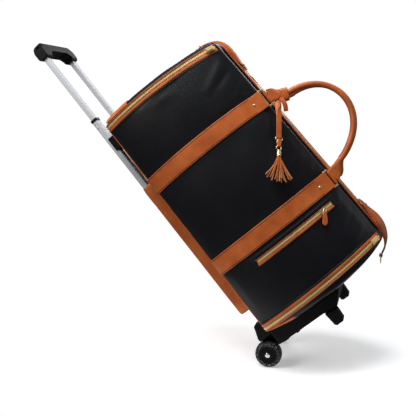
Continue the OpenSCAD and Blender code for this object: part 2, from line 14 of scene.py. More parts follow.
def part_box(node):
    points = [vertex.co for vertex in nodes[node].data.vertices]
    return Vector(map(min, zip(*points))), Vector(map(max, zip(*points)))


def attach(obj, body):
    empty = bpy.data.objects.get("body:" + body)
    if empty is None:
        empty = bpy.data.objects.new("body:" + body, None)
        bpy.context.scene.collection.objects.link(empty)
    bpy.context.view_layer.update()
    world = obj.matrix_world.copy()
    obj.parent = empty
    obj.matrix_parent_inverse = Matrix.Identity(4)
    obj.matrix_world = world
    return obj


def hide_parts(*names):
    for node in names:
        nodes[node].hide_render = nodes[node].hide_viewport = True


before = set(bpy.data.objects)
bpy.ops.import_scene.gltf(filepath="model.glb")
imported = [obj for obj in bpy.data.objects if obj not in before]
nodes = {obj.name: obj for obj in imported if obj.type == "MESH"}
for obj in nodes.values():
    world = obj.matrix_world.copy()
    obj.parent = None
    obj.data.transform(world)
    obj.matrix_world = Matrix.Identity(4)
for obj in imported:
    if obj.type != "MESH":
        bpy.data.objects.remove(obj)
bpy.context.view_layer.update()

# ---- the bag's own geometry, as in the CAD model ----
SIDE_R, SIDE_OFF = 252.0, 101.0
BACK_Y, RIDGE_Y = 181.0, -118.0
MID_Y = BACK_Y - 100.5
RIM_LOW, RIM_HIGH = 88.0, 645.0
TILT_LOW, TILT_HIGH = math.radians(-1.2), math.radians(1.7)
LEAN = math.radians(1.9)
CORNER_R = 20.0
CORNER_Y = BACK_Y - CORNER_R
CORNER_TURN = math.asin((CORNER_Y - MID_Y) / (SIDE_R - CORNER_R))
CORNER_X = (SIDE_R - CORNER_R) * math.cos(CORNER_TURN) - SIDE_OFF
STRAPS = (256.0, 483.0)
STRAP_HALF = 20.0
POCKET_Z = 213.0
TUBE_X, TUBE_Y = 66.0, 212.5
HINGE_X, HINGE_Y = 45.0, -131.1
BALL_R, CROWN_Y = 600.0, BACK_Y - 132.0  # the end panels are parts of a ball
PILLOW = 27.0  # how high the soft top stands over its rim
WHEEL_Y, WHEEL_R = BACK_Y + 42, 30.0
WHEEL_FACE_X, CAP_X = 94.6, 98.2
SLEEVE_LOW, SLEEVE_HIGH, PUCKER_Z = 134.0, 505.0, 476
# How many steps the outline takes over the ridge, its fillet, the side, the back corner and the back.
COARSE, FINE = (8, 6, 64, 10, 14), (20, 16, 220, 30, 40)
SIDE_PART = slice(sum(FINE[:2]), sum(FINE[:3]))
UP = np.array([0.0, 0.0, 1.0])
SIDES = ((-1, "left"), (1, "right"))


def unit(v):
    v = np.asarray(v, float)
    return v / np.maximum(np.linalg.norm(v, axis=-1, keepdims=True), 1e-9)


def smooth(a, b, t):
    t = np.clip((t - a) / (b - a), 0, 1)
    return t * t * (3 - 2 * t)


def heading(points):
    return unit(np.gradient(points, axis=0))


def lengths(points):
    """Distance along a path at each of its points."""
    return np.r_[0, np.cumsum(np.linalg.norm(np.diff(points, axis=0), axis=1))]


def resample(at, steps, rows):
    """Rows of a path at a distance, or at many."""
    return np.stack([np.interp(at, steps, column) for column in rows.T], -1)


def end_name(top):
    return "top" if top else "bottom"


def side_name(s):
    return "left" if s < 0 else "right"


# ---- meshes ----


def make(name, verts, faces, material, shade=True):
    """A mesh object from points in millimetres."""
    mesh = bpy.data.meshes.new(name)
    mesh.from_pydata((np.asarray(verts, float) * 0.001).tolist(), [], [list(map(int, f)) for f in faces])
    mesh.update()
    bm = bmesh.new()
    bm.from_mesh(mesh)
    bmesh.ops.remove_doubles(bm, verts=bm.verts, dist=1e-6)
    bmesh.ops.recalc_face_normals(bm, faces=bm.faces)
    bm.to_mesh(mesh)
    bm.free()
    for p in mesh.polygons:
        p.use_smooth = shade
    if shade:
        mesh.set_sharp_from_angle(angle=math.radians(42))
    mesh.materials.append(material)
    obj = bpy.data.objects.new(name, mesh)
    bpy.context.scene.collection.objects.link(obj)
    return obj


def grid_faces(n, m, wrap_n=False, wrap_m=False, start=0):
    rows = []
    for i in range(n if wrap_n else n - 1):
        for j in range(m if wrap_m else m - 1):
            a, b = i * m + j, i * m + (j + 1) % m
            c, d = ((i + 1) % n) * m + (j + 1) % m, ((i + 1) % n) * m + j
            rows.append((start + a, start + b, start + c, start + d))
    return rows


def grid(name, points, material, wrap_n=False, wrap_m=False):
    points = np.asarray(points, float)
    n, m = points.shape[:2]
    return make(name, points.reshape(-1, 3), grid_faces(n, m, wrap_n, wrap_m), material)


def sweep(name, centres, outs, acrosses, profile, material, closed=False, edge=None):
    """Sweeps a closed outline of (across, out) pairs along a path. The outline may differ at each point.

    edge is a material for the outline's first and last few faces, as for the painted edge of a strap."""
    centres, outs, acrosses = (np.asarray(a, float) for a in (centres, outs, acrosses))
    n = len(centres)
    profile = np.asarray(profile, float)
    if profile.ndim == 2:
        profile = np.repeat(profile[None], n, 0)
    points = centres[:, None] + acrosses[:, None] * profile[..., :1] + outs[:, None] * profile[..., 1:]
    m = profile.shape[1]
    faces = grid_faces(n, m, closed, True)
    if not closed:
        faces += [tuple(range(m - 1, -1, -1)), tuple(range((n - 1) * m, n * m))]
    obj = make(name, points.reshape(-1, 3), faces, material)
    if edge:
        obj.data.materials.append(edge)
        sides = {0, 1, m - 3, m - 2}
        for k, f in enumerate(obj.data.polygons):
            if k % m in sides:
                f.material_index = 1
    return obj


def join(name, parts):
    """Joins objects into one, keeping their materials."""
    verts, faces, marks, materials = [], [], [], []
    for p in parts:
        base = len(verts)
        verts += [tuple(v.co) for v in p.data.vertices]
        index = []
        for m in p.data.materials:
            if m not in materials:
                materials.append(m)
            index.append(materials.index(m))
        for f in p.data.polygons:
            faces.append([base + v for v in f.vertices])
            marks.append((index[f.material_index], f.use_smooth))
    mesh = bpy.data.meshes.new(name)
    mesh.from_pydata(verts, [], faces)
    for m in materials:
        mesh.materials.append(m)
    for f, (k, s) in zip(mesh.polygons, marks):
        f.material_index, f.use_smooth = k, s
    mesh.update()
    mesh.set_sharp_from_angle(angle=math.radians(42))
    obj = bpy.data.objects.new(name, mesh)
    bpy.context.scene.collection.objects.link(obj)
    for p in parts:
        bpy.data.objects.remove(p)
    return obj


def path_frames(points, up=UP):
    """Tangents, and the two directions square to a path."""
    tangent = heading(points)
    across = unit(np.cross(tangent, up))
    return tangent, across, unit(np.cross(across, tangent))


def tube(name, points, radius, material, sides=12, closed=False, up=UP):
    """A round tube along a path, with rounded ends."""
    points = np.asarray(points, float)
    radius = np.full(len(points), radius, float)
    if closed:
        tangent = unit(np.roll(points, -1, 0) - np.roll(points, 1, 0))
        a = unit(np.cross(tangent, up))
        b = unit(np.cross(a, tangent))
    else:
        tangent, a, b = path_frames(points, up)
        lead, tail = [], []
        for k in (0.97, 0.8, 0.45):
            h = math.sqrt(1 - k * k)
            lead.append((points[0] - tangent[0] * radius[0] * k, radius[0] * h, a[0], b[0]))
            tail.append((points[-1] + tangent[-1] * radius[-1] * k, radius[-1] * h, a[-1], b[-1]))
        rows = lead + list(zip(points, radius, a, b)) + tail[::-1]
        points, radius, a, b = (np.array(column) for column in zip(*rows))
    turn = np.linspace(0, 2 * math.pi, sides, endpoint=False)
    ring = np.stack([np.cos(turn), np.sin(turn)], -1)
    profile = ring[None] * radius[:, None, None]
    return sweep(name, points, b, a, profile, material, closed)


# Rings of one stitch: place along it, thickness, and how far it dips in.
STITCH = (
    (-1, 0.35, 0.9), (-0.75, 0.8, 0.35), (-0.3, 1, 0), (0.3, 1, 0), (0.75, 0.8, 0.35), (1, 0.35, 0.9),
)


def stitches(centres, outs, material, length, pitch, radius):
    """A row of thread stitches: short beads that dip into the leather at both ends."""
    centres = np.asarray(centres, float)
    outs = np.broadcast_to(np.asarray(outs, float), centres.shape)
    steps = lengths(centres)
    verts, faces = [], []
    count = max(1, int(steps[-1] / pitch))
    turn = np.linspace(0, 2 * math.pi, 6, endpoint=False)
    for k in range(count):
        at = (k + 0.5) * steps[-1] / count
        c, o = resample(at, steps, centres), unit(resample(at, steps, outs))
        ahead, behind = min(at + 0.5, steps[-1]), max(at - 0.5, 0)
        t = unit(resample(ahead, steps, centres) - resample(behind, steps, centres))
        w = np.cross(t, o)
        base = len(verts)
        for q, thick, sink in STITCH:
            centre = c + t * q * length / 2 - o * radius * sink
            verts += [centre + (w * math.cos(x) + o * math.sin(x)) * radius * thick for x in turn]
        faces += grid_faces(6, 6, False, True, base)
        faces += [tuple(base + i for i in range(5, -1, -1)), tuple(base + 30 + i for i in range(6))]
    return make("stitches", verts, faces, material)


def channel(line, outs, across):
    """A dark strip laid flat along a row of stitches: painted shade for the groove that they lie in."""
    half, deep = 0.85, -0.3
    outline = [(-half, deep), (-half, 0.0), (half, 0.0), (half, deep)]
    return sweep("channel", line, outs, across, outline, GROOVE_SHADE)


def lathe(name, outline, place, material, sides=64):
    """Turns an outline of (radius, height) pairs round the place's own Z axis."""
    turn = np.linspace(0, 2 * math.pi, sides, endpoint=False)
    outline = np.asarray(outline, float)
    points = np.zeros((sides, len(outline), 3))
    points[..., 0] = np.cos(turn)[:, None] * outline[:, 0]
    points[..., 1] = np.sin(turn)[:, None] * outline[:, 0]
    points[..., 2] = outline[:, 1]
    flat = points.reshape(-1, 3) @ np.array(place.to_3x3()).T + np.array(place.translation)
    return make(name, flat, grid_faces(sides, len(outline), True, False), material)


def crowned(half, thick, edge=0.7, steps=4):
    """The outline of a strap seen end on: flat below, a soft crown above, rounded edges."""
    rows = []
    for s in (-1, 1):
        for k in range(steps + 1):
            a = math.pi / 2 * (k / steps if s < 0 else 1 - k / steps)
            rows.append((s * (half - edge + edge * math.cos(a)), thick - edge + edge * math.sin(a)))
    middle = [(x, thick + 0.25 * (1 - (x / half) ** 2)) for x in np.linspace(-half + 2, half - 2, 7)]
    return [(-half, 0.0)] + rows[: steps + 1] + middle + rows[steps + 1 :] + [(half, 0.0)]


# ---- materials ----


def link(source, socket):
    socket.id_data.links.new(source, socket)


def shader(name, **values):
    """A material, its principled shader, a helper that adds and links nodes, and object coordinates."""
    m = bpy.data.materials.new(name)
    m.use_nodes = True
    bsdf = m.node_tree.nodes["Principled BSDF"]
    for key, value in values.items():
        bsdf.inputs[key.replace("_", " ")].default_value = value

    def add(kind, links=(), **settings):
        node = m.node_tree.nodes.new(kind)
        for key, value in settings.items():
            if hasattr(node, key):
                setattr(node, key, value)
            else:
                node.inputs[key.replace("_", " ")].default_value = value
        for socket, source in links:
            link(source, node.inputs[socket])
        return node

    return m, bsdf, add, add("ShaderNodeTexCoord").outputs["Object"]


def ramp(add, source, stops):
    node = add("ShaderNodeValToRGB", [("Fac", source)])
    ends = node.color_ramp.elements
    while len(ends) < len(stops):
        ends.new(0.5)
    for e, (at, colour) in zip(ends, stops):
        e.position, e.color = at, (*colour, 1)
    return node.outputs["Color"]


def dim(colour, share):
    return tuple(c * share for c in colour)


def noise(add, where, scale, detail, **more):
    links = [("Vector", where)]
    return add("ShaderNodeTexNoise", links, Scale=scale, Detail=detail, **more).outputs["Fac"]


def uneven(add, source, low, high):
    """A roughness that follows a texture."""
    return add("ShaderNodeMapRange", [("Value", source)], To_Min=low, To_Max=high).outputs["Result"]


def bump(add, height, strength, distance, under=None, **more):
    links = [("Height", height)] + ([("Normal", under)] if under else [])
    node = add("ShaderNodeBump", links, Strength=strength, Distance=distance, **more)
    return node.outputs["Normal"]


def finish(m, bsdf, tone, normal, rough=None):
    link(tone, bsdf.inputs["Base Color"])
    link(normal, bsdf.inputs["Normal"])
    if rough:
        link(rough, bsdf.inputs["Roughness"])
    return m


def leather(name, colour, deep, rough, grain, depth, crease, light=None, gloss_level=0.32):
    """Grained leather: cells for the pores, a soft mottle, creases and uneven gloss."""
    m, bsdf, add, where = shader(name, Specular_IOR_Level=gloss_level)
    cells = add("ShaderNodeTexVoronoi", [("Vector", where)], feature="SMOOTH_F1", Scale=grain,
                Smoothness=0.4, Randomness=1.0).outputs["Distance"]
    fine = noise(add, where, grain * 0.45, 5.0, Roughness=0.6)
    mottle = noise(add, where, 16.0, 6.0, Roughness=0.62)
    folds = noise(add, where, 34.0, 3.0, Distortion=1.6)
    tone = ramp(add, mottle, [(0.3, deep), (0.55, colour), (0.8, light or colour)])
    pore = ramp(add, cells, [(0.0, (1, 1, 1)), (0.75, (0.72, 0.72, 0.72))])
    mixed = add("ShaderNodeMix", data_type="RGBA", blend_type="MULTIPLY")
    mixed.inputs["Factor"].default_value = 0.6
    link(tone, mixed.inputs["A"])
    link(pore, mixed.inputs["B"])
    low = bump(add, folds, crease, 0.0012)
    mid = bump(add, fine, 0.35, depth, low)
    top = bump(add, cells, 0.6, depth, mid, invert=True)
    return finish(m, bsdf, mixed.outputs["Result"], top, uneven(add, fine, rough - 0.09, rough + 0.09))


def metal(name, colour, rough, stretch=(1, 1, 1), scale=300.0, rise=0.1, spread=0.08, metallic=1.0):
    """Metal with a brushed or lightly scratched finish; satin coats are partly metallic."""
    m, bsdf, add, where = shader(name, Metallic=metallic, Base_Color=(*colour, 1))
    mapped = add("ShaderNodeMapping", [("Vector", where)])
    mapped.inputs["Scale"].default_value = stretch
    grain = noise(add, mapped.outputs["Vector"], scale, 4.0)
    tone = ramp(add, grain, [(0.3, dim(colour, 0.86)), (0.7, colour)])
    gloss = uneven(add, grain, rough - spread, rough + spread)
    return finish(m, bsdf, tone, bump(add, grain, rise, 0.0002), gloss)


def moulded(name, colour, rough, rise, grain=1400.0, dust=None, scale=70.0):
    """Moulded plastic or rubber with a fine spark-eroded grain and slight scuffs."""
    m, bsdf, add, where = shader(name, Specular_IOR_Level=0.10)
    fine = noise(add, where, grain, 2.0)
    scuff = noise(add, where, scale, 3.0, Roughness=0.6)
    tone = ramp(add, scuff, [(0.55, colour), (0.72, dust or dim(colour, 1.7))])
    gloss = uneven(add, scuff, rough - 0.07, rough + 0.1)
    return finish(m, bsdf, tone, bump(add, fine, rise, 0.0002), gloss)


def woven(name, colour, scale):
    """Woven tape: two crossed sets of threads."""
    m, bsdf, add, where = shader(name, Roughness=0.85, Base_Color=(*colour, 1), Sheen_Weight=0.15)
    threads = [add("ShaderNodeTexWave", [("Vector", where)], wave_type="BANDS", bands_direction=axis,
                   Scale=scale, Distortion=0.4).outputs["Fac"] for axis in "ZY"]
    both = add("ShaderNodeMath", list(enumerate(threads)), operation="MAXIMUM").outputs["Value"]
    tone = ramp(add, both, [(0.2, dim(colour, 0.5)), (0.8, colour)])
    return finish(m, bsdf, tone, bump(add, both, 0.5, 0.0003))


BLACK = leather("black_leather", (0.0050, 0.0050, 0.0064), (0.0036, 0.0036, 0.0046), 0.42, 900.0,
                0.00022, 0.16, (0.0075, 0.0075, 0.0095), gloss_level=0.20)
TAN = leather("tan_leather", (0.52, 0.118, 0.021), (0.36, 0.066, 0.010), 0.42, 800.0, 0.00030, 0.2,
              (0.66, 0.180, 0.042))
TAN_EDGE = leather("tan_edge", (0.26, 0.052, 0.012), (0.19, 0.036, 0.008), 0.5, 900.0, 0.0002, 0.1)
# Painted shade: a dark tan for the flat strips along the stitch rows, standing in for the shade in their
# groove.
GROOVE_SHADE = leather("stitch_groove_shade", (0.13, 0.026, 0.007), (0.09, 0.018, 0.005), 0.6, 900.0, 0.0002, 0.1)
SUEDE = leather("strip_back", (0.62, 0.31, 0.12), (0.5, 0.22, 0.08), 0.75, 1500.0, 0.0002, 0.1)
THREAD = leather("tan_thread", (0.20, 0.040, 0.010), (0.15, 0.028, 0.007), 0.6, 3000.0, 0.0001, 0.0)
BLACK_THREAD = leather("black_thread", (0.03, 0.03, 0.034), (0.02, 0.02, 0.022), 0.55, 3000.0, 0.0001, 0.0)
GOLD = metal("gold_metal", (0.90, 0.66, 0.33), 0.26, metallic=0.85)
TEETH = metal("zip_teeth", (0.86, 0.62, 0.28), 0.42, scale=900.0, metallic=0.45)
ALUMINIUM = metal("aluminium", (0.50, 0.505, 0.52), 0.58, (1, 1, 0.02), 160.0, 0.01, 0.02, 0.25)
STEEL = metal("steel", (0.66, 0.66, 0.68), 0.22)
PLASTIC = moulded("black_plastic", (0.003, 0.003, 0.0034), 0.52, 0.03)
BUTTON = moulded("button_plastic", (0.014, 0.014, 0.016), 0.42, 0.08)
HUB = moulded("wheel_plastic", (0.005, 0.005, 0.0055), 0.34, 0.06)
RUBBER = moulded("tyre_rubber", (0.016, 0.016, 0.017), 0.58, 0.3, 500.0, (0.42, 0.42, 0.42), 330.0)
TAPE = woven("zip_tape", (0.30, 0.13, 0.045), 900.0)
LINING = woven("lining", (0.16, 0.15, 0.13), 700.0)


# ---- the bag's surface ----


def ridge_at(z):
    return RIDGE_Y - (643.0 - z) * math.tan(LEAN)


def half_outline(z, counts=COARSE):
    """Half of the bag's outline at height z on the +x side, from the ridge's middle to the back's middle."""
    yr = ridge_at(z)
    edge_x = math.sqrt(SIDE_R**2 - (yr - MID_Y) ** 2) - SIDE_OFF
    fillet = 8.0
    a0 = math.asin((yr - MID_Y) / SIDE_R) + fillet / SIDE_R
    side = lambda a: (SIDE_R * math.cos(a) - SIDE_OFF, MID_Y + SIDE_R * math.sin(a))
    rows = [(x, yr) for x in np.linspace(0, edge_x - fillet, counts[0])]
    p0, p1, p2 = np.array(rows[-1]), np.array((edge_x, yr)), np.array(side(a0))
    for t in np.linspace(0, 1, counts[1] + 1)[1:]:
        rows.append(tuple((1 - t) ** 2 * p0 + 2 * t * (1 - t) * p1 + t * t * p2))
    rows += [side(a) for a in np.linspace(a0, CORNER_TURN, counts[2] + 1)[1:]]
    for a in np.linspace(CORNER_TURN, math.pi / 2, counts[3] + 1)[1:]:
        rows.append((CORNER_X + CORNER_R * math.cos(a), CORNER_Y + CORNER_R * math.sin(a)))
    rows += [(x, BACK_Y) for x in np.linspace(CORNER_X, 0, counts[4] + 1)[1:]]
    return np.array(rows)


def rim(top, y):
    """Height of a rim over the place y: the rims tilt a little."""
    z, tilt = (RIM_HIGH, TILT_HIGH) if top else (RIM_LOW, TILT_LOW)
    return z + (np.clip(y, -140, BACK_Y) - MID_Y) * math.tan(tilt)


def swell(z):
    """How far the leather stands out between its straps and rims."""
    out = 0.0
    for low, high, rise in ((98, 234, 3.2), (278, 461, 3.4), (505, 634, 3.2)):
        t = np.clip((z - low) / (high - low), 0, 1)
        out = out + rise * np.sin(math.pi * t) ** 0.8
    return out


# Tension creases: start and end, each as (distance from the ridge's edge, height), then width and depth.
CREASES = [
    ((2, 612), (92, 566), 9, 1.5), ((0, 585), (70, 560), 6, -1.2), ((0, 545), (48, 520), 6, 1.2),
    ((4, 512), (40, 532), 5, -0.9), ((2, 455), (46, 415), 8, 1.2), ((0, 430), (30, 380), 6, -1.0),
    ((0, 345), (50, 330), 8, 1.4), ((0, 318), (38, 292), 6, 1.1), ((2, 296), (60, 286), 5, -0.9),
    ((0, 232), (46, 196), 7, 1.2), ((0, 180), (60, 150), 8, -1.3), ((4, 140), (70, 118), 6, 1.2),
    ((240, 628), (150, 606), 12, 1.0), ((120, 628), (210, 618), 7, -0.8), ((250, 118), (160, 110), 8, 1.0),
]


def creases(d, z):
    out = np.zeros(np.broadcast(d, z).shape)
    for (d0, z0), (d1, z1), width, depth in CREASES:
        v = np.array([d1 - d0, z1 - z0], float)
        t = np.clip(((d - d0) * v[0] + (z - z0) * v[1]) / (v @ v), 0, 1)
        off = np.hypot(d - d0 - t * v[0], z - z0 - t * v[1])
        fade = np.sin(math.pi * np.clip(0.12 + 0.88 * (1 - t), 0, 1)) ** 0.6
        out += depth * np.exp(-((off / width) ** 2)) * fade
    return out


def ripple(x, y, z):
    """A slow, seeded unevenness of the leather."""
    return (
        np.sin(x * 0.021 + z * 0.013 + 1.1) * np.sin(z * 0.019 - y * 0.015)
        + 0.5 * np.sin(y * 0.041 + z * 0.033 + 0.4) * np.sin(x * 0.037 - z * 0.027 + 2.0)
    )


def outline_frame(line):
    """Distances along an outline and its outward directions, for the +x side."""
    t = heading(line)
    return lengths(line), np.stack([t[:, 1], -t[:, 0]], -1)


def shell():
    """The body of the bag between its two end zips, drawn in a little at both rims."""
    rows = []
    heights = np.linspace(0, 1, 150)
    for v in heights:
        line = half_outline(RIM_LOW + v * (RIM_HIGH - RIM_LOW))
        step, out = outline_frame(line)
        edge, corner = step[sum(COARSE[:2]) - 1], step[sum(COARSE[:3]) - 1]
        for s in (-1, 1):
            y = line[:, 1]
            z = rim(0, y) + v * (rim(1, y) - rim(0, y))
            side = smooth(2, 26, step - edge) * (1 - smooth(-14, 4, step - corner))
            lift = swell(z) * side
            lift = lift + 0.9 * ripple(s * line[:, 0], y, z) * side * np.clip(swell(z), 0, 1)
            lift = lift + creases(step - edge, z) * smooth(-3, 6, step - edge) * np.clip(swell(z) / 1.5, 0, 1)
            sag = -1.6 * np.exp(-(((step - edge * 0.5) / 16) ** 2)) * np.clip(swell(z), 0, 1)
            lift = lift + np.where(step < edge, sag, 0)
            lift = lift - 2.0 * np.exp(-((v / 0.008) ** 2)) - 2.0 * np.exp(-(((1 - v) / 0.008) ** 2))
            p = np.stack([s * (line[:, 0] + out[:, 0] * lift), y + out[:, 1] * lift, z], -1)
            rows.append(p if s > 0 else p[::-1])
    pairs = [np.concatenate([rows[2 * i], rows[2 * i + 1][1:]]) for i in range(len(heights))]
    return grid("bag_body", np.array(pairs), BLACK)


def fine_outline(z):
    line = half_outline(z, FINE)
    return line, *outline_frame(line)


def station(s, at, z, lift=0.0, along="y"):
    """A point on side s and its outward direction, by its y or ("d") its distance along the outline."""
    line, step, out = fine_outline(z)
    key, part = (line[:, 1], SIDE_PART) if along == "y" else (step, slice(None))
    x, y, nx, ny = (np.interp(at, key[part], column[part]) for column in (*line.T, *out.T))
    n = unit([nx, ny])
    return np.array([s * (x + n[0] * lift), y + n[1] * lift, z]), np.array([s * n[0], n[1], 0])


def surface_path(s, start, end, z, count, lift, top=None):
    """Points on side s with their outward and upward directions.

    start and end are y places. With top set they are distances along that end's rim instead,
    so that the path can go round the back corner."""
    pts, outs = [], []
    for at in np.linspace(start, end, count):
        if top is None:
            p, n = station(s, at, z, lift)
        else:
            p, n = station(s, at, rim(top, MID_Y), lift, "d")
            p[2] = rim(top, p[1])
        pts.append(p)
        outs.append(n)
    ups = unit(np.cross(outs, heading(pts)))
    return np.array(pts), np.array(outs), ups if ups[0][2] > 0 else -ups


def outline_distance(z, y):
    """Distance along the outline of the place y on the side, at height z."""
    line, step, _ = fine_outline(z)
    return np.interp(y, line[SIDE_PART, 1], step[SIDE_PART])


def corner_distance(z):
    """Distances along the outline at which the back corner starts and ends."""
    step = fine_outline(z)[1]
    return step[SIDE_PART.stop - 1], step[SIDE_PART.stop - 1 + FINE[3]]


def ball(top, x, y):
    """Height of the ball that an end panel is part of."""
    sign = 1 if top else -1
    centre = RIM_HIGH - 2 + 29 - BALL_R if top else RIM_LOW - 36 + BALL_R
    return centre + sign * np.sqrt(BALL_R**2 - x**2 - (y - CROWN_Y) ** 2)


def rise_over_rim(top, x, y, t):
    """How far an end panel stands over its rim, at the share t of the way from its crown to its edge."""
    if top:
        return PILLOW * (1 - t**4) ** 0.45
    shoulder = np.sqrt(np.clip(1 - np.clip((t - 0.94) / 0.06, 0, 1) ** 2, 0, 1))
    return (rim(top, y) - ball(top, x, y)) * shoulder


# ---- pieces of the bag ----


def dome(top):
    """A domed end panel: a short skirt at the rim, a soft shoulder and a crown."""
    sign, z0 = (1, RIM_HIGH) if top else (-1, RIM_LOW)
    right = half_outline(z0)
    line = np.concatenate([right[::-1] * [-1, 1], right[1:]])[:-1]
    rings = []
    for scale, rise in ((0.996, -9.0), (0.999, -5.0)):
        y = MID_Y + (line[:, 1] - MID_Y) * scale
        rings.append(np.stack([line[:, 0] * scale, y, rim(top, y) + sign * rise], -1))
    for t in np.r_[np.linspace(1, 0.86, 12), np.linspace(0.84, 0.0, 34)]:
        x, y = line[:, 0] * t, CROWN_Y + (line[:, 1] - CROWN_Y) * t
        dent = 0.9 * ripple(x, y, z0) * smooth(1.0, 0.85, t)
        gathers = 0.7 * np.sin(np.arctan2(y - CROWN_Y, x) * 9 + 1.3)
        dent = dent + gathers * smooth(1.0, 0.93, t) * smooth(0.7, 0.9, t)
        rise = rise_over_rim(top, x, y, t)
        rings.append(np.stack([x, y, rim(top, y) + sign * (rise + dent)], -1))
    return grid(f"end_panel_{end_name(top)}_leather", np.array(rings), BLACK, wrap_m=True)


def strap(s, z, name):
    """A strap from its ring, across the side, round the corner and under the sleeve's edge."""
    ring = outline_distance(z, RIDGE_Y - 2)
    _, corner_end = corner_distance(z)
    end = corner_end + (CORNER_X - TUBE_X - 12)
    fold = ((0.5, 3.0), (-1.7, 4.8), (0.2, 6.6), (3.5, 6.0), (8, 3.2), (13, 1.0), (18, 0.15))
    plan = [(ring + d, lift) for d, lift in fold]
    plan += [(d, 0.15) for d in np.linspace(ring + 24, end, 90)]
    pts = np.array([station(s, d, z, lift, "d")[0] for d, lift in plan])
    across = np.repeat(UP[None], len(pts), 0)
    outs = unit(np.cross(across, heading(pts))) * -s
    face = sweep(name, pts, outs, across, crowned(STRAP_HALF, 2.3, 1.0), TAN, edge=TAN_EDGE)
    rows = []
    for e in (-1, 1):
        line = pts[9:] + across[9:] * e * (STRAP_HALF - 2.9) + outs[9:] * 2.42
        rows.append(stitches(line, outs[9:], THREAD, 3.0, 4.2, 0.5))
        rows.append(channel(line, outs[9:], across[9:]))
    return join(name, [face] + rows)


def bead(half, thick):
    """A narrow rounded trim seen end on."""
    return [(half * math.cos(a), thick * math.sin(a)) for a in np.linspace(math.pi, 0, 13)]


# Sections of a zip's tooth, from its root to its tip: place, half width and height.
TOOTH = ((3.6, 0.54, 1.5), (3.2, 0.58, 2.8), (0.2, 0.58, 3.1), (-0.9, 0.70, 2.9), (-1.5, 0.5, 1.5))


def zip_run(name, pts, outs, ups, half_tape, low_trim, high_trim, trim_height=1.9, teeth_lift=0.0):
    """A zip along a path: two rows of interlocked teeth on their tape, with leather trims and stitches."""
    parts = []
    tape = [(-half_tape, 0.2), (-half_tape, 1.0), (half_tape, 1.0), (half_tape, 0.2)]
    parts.append(sweep("tape", pts, outs, ups, tape, TAPE))
    steps = lengths(pts)
    verts, faces = [], []
    pitch = 2.5
    count = int((steps[-1] - 3) / pitch * 2)
    for k in range(count):
        s = 1.5 + k * pitch / 2
        side = 1 if k % 2 else -1
        c, o, u = (resample(s, steps, rows) for rows in (pts, outs, ups))
        o, u = unit(o), unit(u)
        c = c + o * teeth_lift
        t = unit(np.cross(o, u))
        u = u * side
        base = len(verts)
        for a, w, h in TOOTH:
            for q, hh in ((-w, 0.5), (-w, h - 0.25), (-w * 0.6, h), (w * 0.6, h), (w, h - 0.25), (w, 0.5)):
                verts.append(c + u * a + t * (q - 0.25 * a * side) + o * hh)
        faces += [[base + i * 6 + j % 6 for i, j in ((r, q), (r, q + 1), (r + 1, q + 1), (r + 1, q))]
                  for r in range(4) for q in range(6)]
        faces += [tuple(base + i for i in range(5, -1, -1)), tuple(base + 24 + i for i in range(6))]
    parts.append(make("teeth", verts, faces, TEETH))
    for sign, trim in ((-1, low_trim), (1, high_trim)):
        inner, outer = trim
        half = (outer - inner) / 2
        centre = pts + ups * sign * (inner + outer) / 2
        if trim_height > 2:
            shape = crowned(half, trim_height, 2.0)
        else:
            edge = min(0.8, half * 0.6)
            shape = crowned(half, trim_height, edge, 3) if half > 2 else bead(half, trim_height)
        parts.append(sweep("trim", centre + outs * 0.9, outs, ups, shape, TAN, edge=TAN_EDGE))
        line = centre + ups * sign * half * 0.45 + outs * (trim_height + 1.05)
        parts.append(stitches(line, outs, THREAD, 2.2, 3.4, 0.36))
    return join(name, parts)


def end_zip(s, top):
    """A zip round an end, with a black bead and a row of stitches beside it."""
    start = outline_distance(RIM_HIGH if top else RIM_LOW, RIDGE_Y + (6 if top else -12))
    corner_start, corner_end = corner_distance(RIM_HIGH if top else RIM_LOW)
    end = corner_start + 0.72 * (corner_end - corner_start)
    pts, outs, ups = surface_path(s, start, end, None, 120, -1.3, top)
    narrow, wide = (4.1, 7.0), (4.1, 10.6)
    trims = (wide, narrow) if top else (narrow, wide)
    run = zip_run(f"end_zip_{end_name(top)}_{side_name(s)}", pts, outs, ups, 8.0, *trims)
    edge = -1 if top else 1
    bead_line, row = pts + ups * edge * 13.4 + outs * 1.6, pts + ups * edge * 16.6 + outs * 2.0
    return join(run.name, [run, tube("bead", bead_line, 1.7, BLACK, 10),
                           stitches(row, outs, BLACK_THREAD, 2.4, 4.2, 0.34)])


def ridge_zip():
    """The zip up the leaning ridge."""
    zs = np.linspace(104, 636, 130)
    pts = np.array([[0, ridge_at(z) - 0.2, z] for z in zs])
    outs = np.repeat(np.array([[0, -math.cos(LEAN), math.sin(LEAN)]]), len(zs), 0)
    ups = np.repeat(np.array([[1.0, 0, 0]]), len(zs), 0)
    return zip_run("ridge_zip", pts, outs, ups, 10.5, (4.4, 24.0), (4.4, 24.0), 3.0, teeth_lift=1.6)


